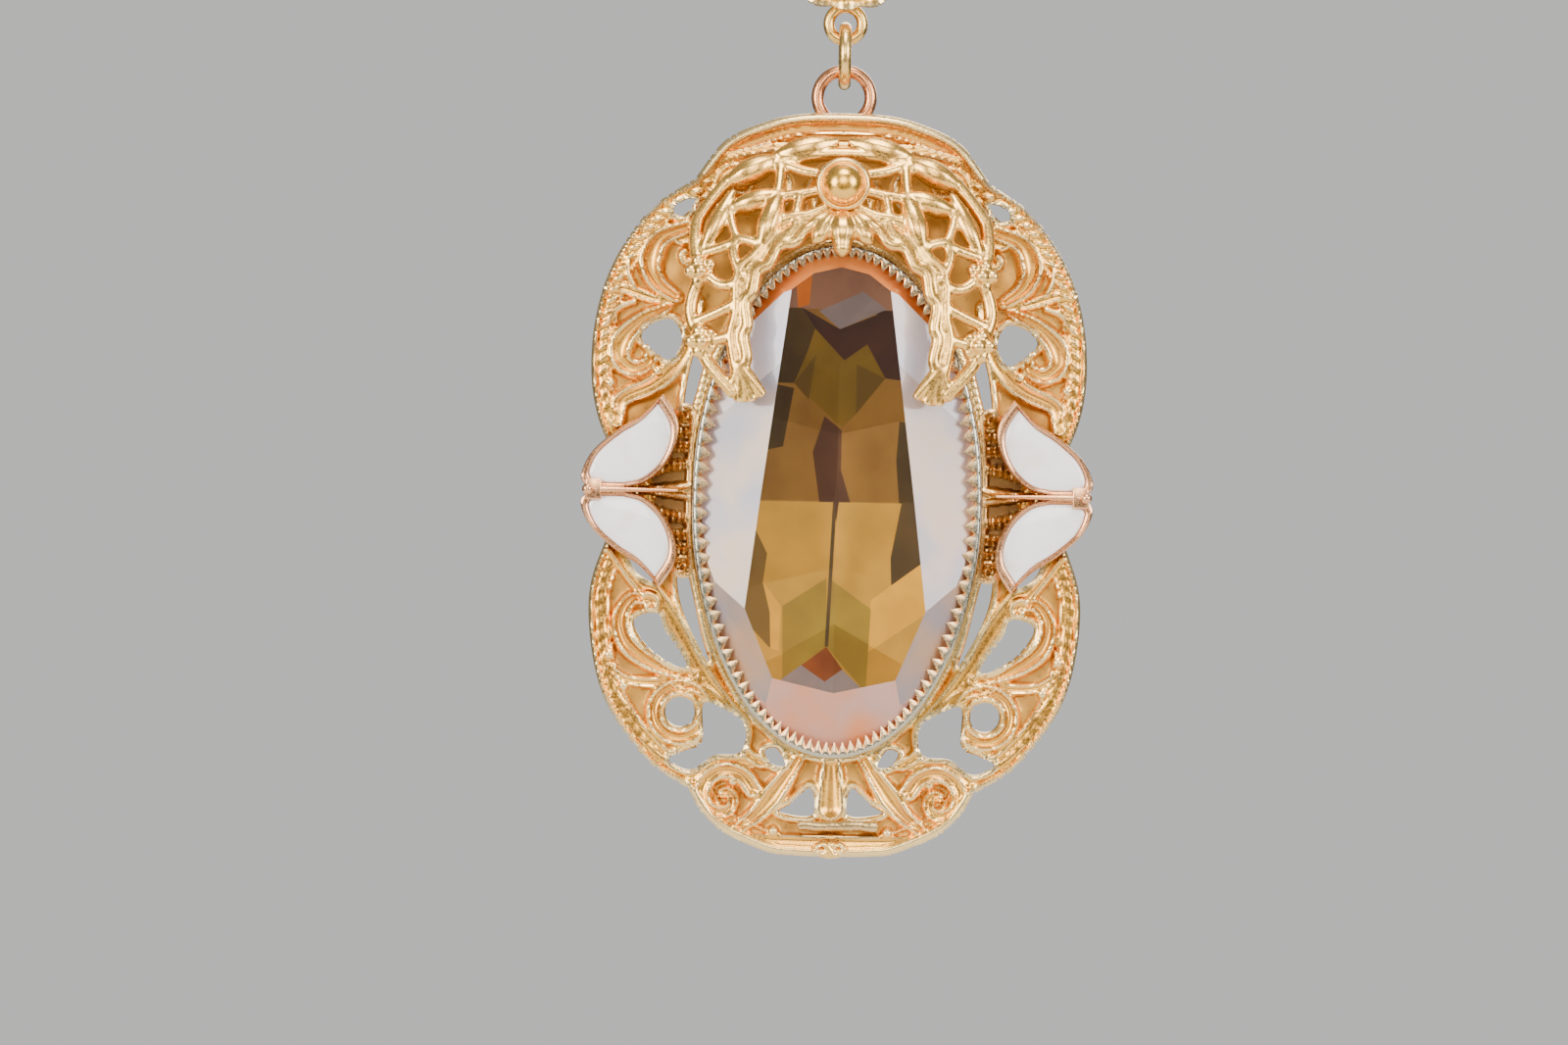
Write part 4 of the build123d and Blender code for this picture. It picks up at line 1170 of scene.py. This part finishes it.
# %% Build the leaves
LEAF_OUT = [(7.2, 0.0), (7.75, 1.0), (6.9, 2.9), (4.9, 4.7), (2.9, 6.0), (1.25, 7.7)]
LEAF_IN = [(1.25, 7.7), (0.1, 5.8), (0.05, 4.0), (0.95, 2.0), (2.6, 0.5), (4.4, 0.0)]
LEAF_HEART = (3.8, 2.6)
LEAF_LOW, leaf_high = face_up_box("leaf_cell_upper_right")
LEAF_TOP = leaf_high.z
LEAF_FLOOR = face_up_box("leaf_enamel_upper_right")[0].z
TRAY = [
    (1.0, LEAF_LOW.z), (1.0, LEAF_TOP - 0.25), (0.988, LEAF_TOP - 0.09), (0.955, LEAF_TOP), (0.905, LEAF_TOP),
    (0.862, LEAF_TOP - 0.08), (0.845, LEAF_TOP - 0.22), (0.84, LEAF_FLOOR),
]
FILL = [
    (0.838, LEAF_FLOOR + 0.02), (0.838, LEAF_TOP - 0.30), (0.81, LEAF_TOP - 0.20), (0.74, LEAF_TOP - 0.13),
    (0.55, LEAF_TOP - 0.07), (0.3, LEAF_TOP - 0.04), (0.08, LEAF_TOP - 0.03),
]


def stacked(outline_points, heart, rows):
    """Carries one outline up through (scale, height) rows, and closes both ends."""
    bm = bmesh.new()
    last, low = rows[0]
    face = bm.faces.new([
        bm.verts.new((heart[0] + last * (x - heart[0]), heart[1] + last * (y - heart[1]), low))
        for x, y in outline_points])
    for level, (size, z) in enumerate(rows[1:]):
        made = bmesh.ops.extrude_face_region(bm, geom=[face])
        if level:
            bmesh.ops.delete(bm, geom=[face], context="FACES_ONLY")
        face = next(item for item in made["geom"] if isinstance(item, bmesh.types.BMFace))
        for vert in face.verts:
            vert.co.x = heart[0] + (vert.co.x - heart[0]) * size / last
            vert.co.y = heart[1] + (vert.co.y - heart[1]) * size / last
            vert.co.z = z
        last = size
    return bm


leaf_outline = np.vstack([smooth_path(LEAF_OUT, 8)[:-1], smooth_path(LEAF_IN, 8)])
for side, sign in (("right", 1), ("left", -1)):
    for level, way in (("upper", 1), ("lower", -1)):
        spot = f"{level}_{side}"
        place = Matrix.Translation((0, WAIST_Y, 0)) @ Matrix.Diagonal((sign, way, 1, 1))
        place = place @ Matrix.Translation((LEAF_LOW.x, LEAF_LOW.y - WAIST_Y, 0))
        for what, rows, finish_as in (
            ("leaf_cell_", TRAY, "copper_gilt"), ("leaf_enamel_", FILL, "enamel")):
            bm = stacked(leaf_outline, LEAF_HEART, rows)
            bmesh.ops.transform(bm, matrix=place, verts=bm.verts)
            name = ("tray_" if rows is TRAY else "white_enamel_") + spot
            finish(bm, name, [finish_as], replaces=[what + spot], smooth=35)

# %% Build the clasps at the leaves' outer ends
for side, sign in (("right", 1), ("left", -1)):
    low, high = face_up_box("leaf_clasp_" + side)
    outer_x = sign * (max(abs(low.x), abs(high.x)) - 0.45)
    clasp = bmesh.new()
    strap = Matrix.Translation((outer_x - sign * 0.45, WAIST_Y, LEAF_TOP + 0.1))
    bmesh.ops.create_cube(clasp, size=1, matrix=strap @ Matrix.Diagonal((1.3, 1.7, 0.34, 1)))
    bmesh.ops.bevel(
        clasp, geom=clasp.edges[:], offset=0.14, segments=3, affect="EDGES", profile=0.5, material=-1)
    vein = swept([[
        (outer_x - sign * inward, WAIST_Y, LEAF_TOP + rise, radius)
        for inward, rise, radius in ((7.2, -0.12, 0.12), (3.6, 0.0, 0.2), (0.5, 0.05, 0.24))]], 3)
    mesh = bpy.data.meshes.new("vein")
    vein.to_mesh(mesh)
    vein.free()
    clasp.from_mesh(mesh)
    bpy.data.meshes.remove(mesh)
    add_bead(clasp, outer_x, WAIST_Y, high.z - 0.45, 0.45)
    finish(
        clasp, "clasp_" + side, ["copper_gilt"], replaces=["leaf_clasp_" + side],
        smooth=45)

# %% [markdown]
# ## Repairs at the foot and solder at the top
#
# Somebody once mended the foot with a lumpy run of solder, and a stub with two pin holes is
# left of a lost drop. Melted metal has no clean edges, so these start as swept bars and
# beads at places drawn from a seeded random source, and are fused.

# %% Melt the small repairs
lumps = random.Random(7)
mend_low, mend_high = face_up_box("mend_bar")
mend_y = (mend_low.y + mend_high.y) / 2
rows = []
for k in range(15):
    x = mend_low.x + 0.4 + (mend_high.x - mend_low.x - 0.8) * k / 14
    rows.append((x, mend_y + lumps.uniform(-0.08, 0.08), mend_low.z + 0.52, lumps.uniform(0.40, 0.52)))
mend_bm = swept([rows], 3)
for k in range(16):
    x = lumps.uniform(mend_low.x + 0.4, mend_high.x - 0.4)
    add_bead(mend_bm, x, mend_y + lumps.uniform(-0.22, 0.22), mend_low.z + 0.56, lumps.uniform(0.18, 0.32))
mend_bm = fused(mend_bm, 0.07, 1)
finish(mend_bm, "mended_seam", ["solder"], replaces=["mend_bar"], smooth=180)

lug_low, lug_high = face_up_box("drop_lug")
lug_middle, lug_half = centre("drop_lug"), half_size("drop_lug")
PIN_X = 0.68


def lug_height(xy, edge, run, rim):
    height = 0.75 * half_round(edge - 0.45, 0.48)
    height[edge > 0.45] = 0.75
    return height - 0.12 * np.clip(1 - rim / 0.2, 0, 1) + 0.05 * np.sin(xy[:, 0] * 9.0 + xy[:, 1] * 7.0)


lug_edge = ring_path(lug_middle.x, lug_middle.y, lug_half.x, lug_half.y)
pins = [ring_path(sign * PIN_X, lug_middle.y, 0.26, 0.26, 24) for sign in (-1, 1)]
lug_room = Vector((0.1, 0.1))
lug_bm = relief_sheet(
    0.06, lug_edge, pins, lug_height, lug_low.to_2d() - lug_room, lug_high.to_2d() + lug_room,
    lug_low.z + 0.08)
close_sheet(lug_bm, lug_low.z)
finish(lug_bm, "drop_stub", ["pale_gilt"], replaces=["drop_lug"])

solder_low = face_up_box("ring_solder")[0]
solder_bm = bmesh.new()
for sign in (-1, 1):
    for k in range(6):
        x = sign * (1.5 + lumps.uniform(-0.3, 0.3))
        y = solder_low.y + 0.75 + lumps.uniform(-0.3, 0.35)
        add_bead(solder_bm, x, y, solder_low.z + 0.55 + lumps.uniform(-0.1, 0.1), lumps.uniform(0.4, 0.52))
solder_bm = fused(solder_bm, 0.08, 1)
finish(solder_bm, "ring_beads", ["solder"], replaces=["ring_solder"], smooth=180)

# %% [markdown]
# ## Rings and the shell link
#
# A ring of wire is a circle spun about the ring's middle. The jump ring is cut through,
# because it was opened and closed with pliers, so it stops a little short of a full turn.
# The shell is a relief again: nine flutes that widen towards a scalloped edge.

# %% Spin the rings
def wire_ring(name, node, finish_as, body, crosswise=False, turn_by=360.0):
    """A ring of round wire that fills its node's box."""
    middle, half = centre(node), half_size(node)
    wire = min(half)
    bm = bmesh.new()
    bmesh.ops.create_circle(bm, segments=20, radius=wire)
    bmesh.ops.rotate(bm, verts=bm.verts, matrix=Matrix.Rotation(math.pi / 2, 3, "X"))
    bmesh.ops.translate(bm, verts=bm.verts, vec=(half.y - wire, 0, 0))
    bmesh.ops.spin(
        bm, geom=bm.verts[:] + bm.edges[:], axis=(0, 0, 1), angle=math.radians(turn_by), steps=72,
        use_merge=turn_by == 360)
    if turn_by < 360:
        bmesh.ops.holes_fill(bm, edges=[edge for edge in bm.edges if edge.is_boundary])
    if crosswise:
        bmesh.ops.rotate(bm, verts=bm.verts, matrix=Matrix.Rotation(math.pi / 2, 3, "Y"))
    bmesh.ops.translate(bm, verts=bm.verts, vec=middle)
    finish(bm, name, [finish_as], body=body, replaces=[node])


wire_ring("top_ring", "frame_ring", "copper_gilt", "pendant")
wire_ring("open_ring", "jump_ring", "yellow_gilt", "jump_ring", crosswise=True, turn_by=358.6)
wire_ring("shell_loop", "link_loop", "yellow_gilt", "link")

# %% Flute the shell
shell_low, shell_high = face_up_box("shell_link")
SHELL_R = 8.25
SHELL_Y = shell_low.y + SHELL_R
SHELL_SPREAD = 76.0
EAR_TOP = shell_high.y
CHAIN_X, CHAIN_Y = 5.4, SHELL_Y + 0.4
FLUTES = 9
FLUTE = 2 * (SHELL_SPREAD - 6) / (FLUTES - 1)
EDGE_STEPS = 28


def shell_spot(angle, radius):
    turn = math.radians(angle - 90)
    return (radius * math.cos(turn), SHELL_Y + radius * math.sin(turn))


def shell_height(xy, edge, run, rim):
    """Flutes that fan out from the shell's middle, and flat ears with raised eyes."""
    away = np.hypot(xy[:, 0], xy[:, 1] - SHELL_Y)
    angle = np.degrees(np.arctan2(xy[:, 0], SHELL_Y - xy[:, 1]))
    flute = np.cos(np.pi * angle / FLUTE) ** 2
    fan = np.where((np.abs(angle) < SHELL_SPREAD) & (away > 1.2), np.clip(away / SHELL_R, 0, 1), 0)
    height = 0.1 + 0.72 * fan * np.sqrt(flute)
    growth = 0.05 * np.cos(2 * np.pi * away / 1.1) * fan
    eye = 0.4 * half_round(rim - 0.35, 0.38)
    lip = 0.3 * half_round(edge - 0.2, 0.25)
    return np.maximum.reduce([height + growth, eye, lip, np.full(len(xy), 0.1)])


half_shell = [(0.0, shell_low.y + 0.02)]
for k in range(1, EDGE_STEPS + 1):
    angle = SHELL_SPREAD * k / EDGE_STEPS
    scallop = abs(math.cos(math.pi * angle / FLUTE))
    half_shell.append(shell_spot(angle, SHELL_R - 0.32 * (1 - scallop)))
half_shell += [
    (7.0, 45.4), (6.6, 45.7), (6.9, 46.3), (6.9, 47.6), (6.4, 48.3), (3.0, EAR_TOP), (0.0, EAR_TOP)]
half_shell = np.array(half_shell)
shell_edge = np.vstack([half_shell, half_shell[-2:0:-1] * (-1, 1)])
chain_hole = ring_path(CHAIN_X, CHAIN_Y, 0.9, 0.9, 32)
shell_bm = relief_sheet(
    0.13, shell_edge, [chain_hole], shell_height, (0, shell_low.y), (8.3, EAR_TOP + 0.05), shell_low.z + 0.68,
    half=True)
mirror_half(shell_bm)
close_sheet(shell_bm, shell_low.z)
finish(shell_bm, "fluted_shell", ["yellow_gilt"], body="link", replaces=["shell_link"])

# %% [markdown]
# ## Pieces whose shape is already right
#
# The back of the cup, the seat inside it, the pegs and the rivets are plain shapes that are
# mostly hidden. They stay as they are and only get a finish.

# %% Finish the plain pieces
for node, finish_as in (
    ("cup_plate", "cup_gilt"), ("stone_seat", "cup_gilt"), ("crown_side_posts", "pale_gilt"),
    ("crown_stud", "pale_gilt"), ("leaf_rivets", "copper_gilt")):
    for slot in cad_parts[node].material_slots:
        slot.material = finishes[finish_as]
    print(node, "wears", finish_as)

# %% [markdown]
# ## Stage, light and camera
#
# Metal shows what stands round it. A plain pale floor and soft lamps at both sides, above, in
# front and behind give its curves long soft highlights, and the camera looks straight at the
# pendant's face.

# %% Stage and light
def area_light(name, place, target, size, power, colour):
    data = bpy.data.lights.new(name, "AREA")
    data.shape = "DISK"
    data.size = size
    data.energy = power
    data.color = colour
    lamp = bpy.data.objects.new(name, data)
    lamp.location = place
    lamp.rotation_euler = (Vector(target) - Vector(place)).to_track_quat("-Z", "Y").to_euler()
    bpy.context.scene.collection.objects.link(lamp)


LOOK_AT = Vector((0, 0, MIDDLE))
area_light("left_lamp", (-0.42, -0.38, MIDDLE + 0.10), LOOK_AT, 0.34, 3.6, (1.0, 0.96, 0.90))
area_light("right_lamp", (0.42, -0.34, MIDDLE + 0.14), LOOK_AT, 0.34, 2.9, (0.98, 0.97, 1.0))
area_light("top_lamp", (0.02, -0.22, MIDDLE + 0.50), LOOK_AT, 0.30, 3.0, (1.0, 0.97, 0.92))
area_light("front_lamp", (0.0, -0.50, MIDDLE + 0.16), LOOK_AT, 0.22, 0.9, (1.0, 0.93, 0.82))
area_light("back_lamp", (0.10, 0.45, MIDDLE + 0.25), LOOK_AT, 0.40, 2.0, (1.0, 1.0, 1.0))

floor_bm = bmesh.new()
bmesh.ops.create_grid(floor_bm, x_segments=1, y_segments=1, size=0.3)
bmesh.ops.translate(floor_bm, verts=floor_bm.verts, vec=(0, 0, cad_box[0][2] - 0.09))
floor_mesh = bpy.data.meshes.new("floor")
floor_bm.to_mesh(floor_mesh)
floor_bm.free()
floor_paint, _, floor_shader = new_material("floor_paint")
floor_shader.inputs["Base Color"].default_value = (0.80, 0.79, 0.77, 1)
floor_shader.inputs["Roughness"].default_value = 0.8
floor_mesh.materials.append(floor_paint)
floor = bpy.data.objects.new("floor", floor_mesh)
bpy.context.scene.collection.objects.link(floor)

world = bpy.data.worlds.new("studio")
bpy.context.scene.world = world
world.use_nodes = True
sky_tree = world.node_tree
sky = sky_tree.nodes["Background"]
ways = add_node(sky_tree, "ShaderNodeSeparateXYZ")
sky_tree.links.new(add_node(sky_tree, "ShaderNodeTexCoord").outputs["Generated"], ways.inputs[0])
glow = ramp(sky_tree, ways.outputs["Z"], -0.5, 0.9, 0.08, 0.46)
seen = add_node(sky_tree, "ShaderNodeLightPath").outputs["Is Camera Ray"]
level = add_node(sky_tree, "ShaderNodeMix", data_type="FLOAT")
sky_tree.links.new(seen, level.inputs[0])
sky_tree.links.new(glow, level.inputs[2])
level.inputs[3].default_value = 0.72          # the pale backdrop that the camera sees
sky_tree.links.new(level.outputs[0], sky.inputs["Strength"])
sky.inputs["Color"].default_value = (0.86, 0.85, 0.84, 1)
print("lamps", len(bpy.data.lights))

# %% Camera
VIEW_WIDTH = 127.0 * MM          # what the picture spans at the pendant's face
DISTANCE = 0.42
camera_data = bpy.data.cameras.new("camera")
camera_data.sensor_width = 36.0
camera_data.lens = 36.0 * DISTANCE / VIEW_WIDTH
camera = bpy.data.objects.new("camera", camera_data)
camera.matrix_world = (
    Matrix.Translation((-4.2 * MM, -DISTANCE, MIDDLE - 3.1 * MM))
    @ Matrix.Rotation(math.radians(-1.12), 4, "Y")
    @ Matrix.Rotation(math.pi / 2, 4, "X")
)
bpy.context.scene.collection.objects.link(camera)
bpy.context.scene.camera = camera
print("lens", round(camera_data.lens, 1), "mm")
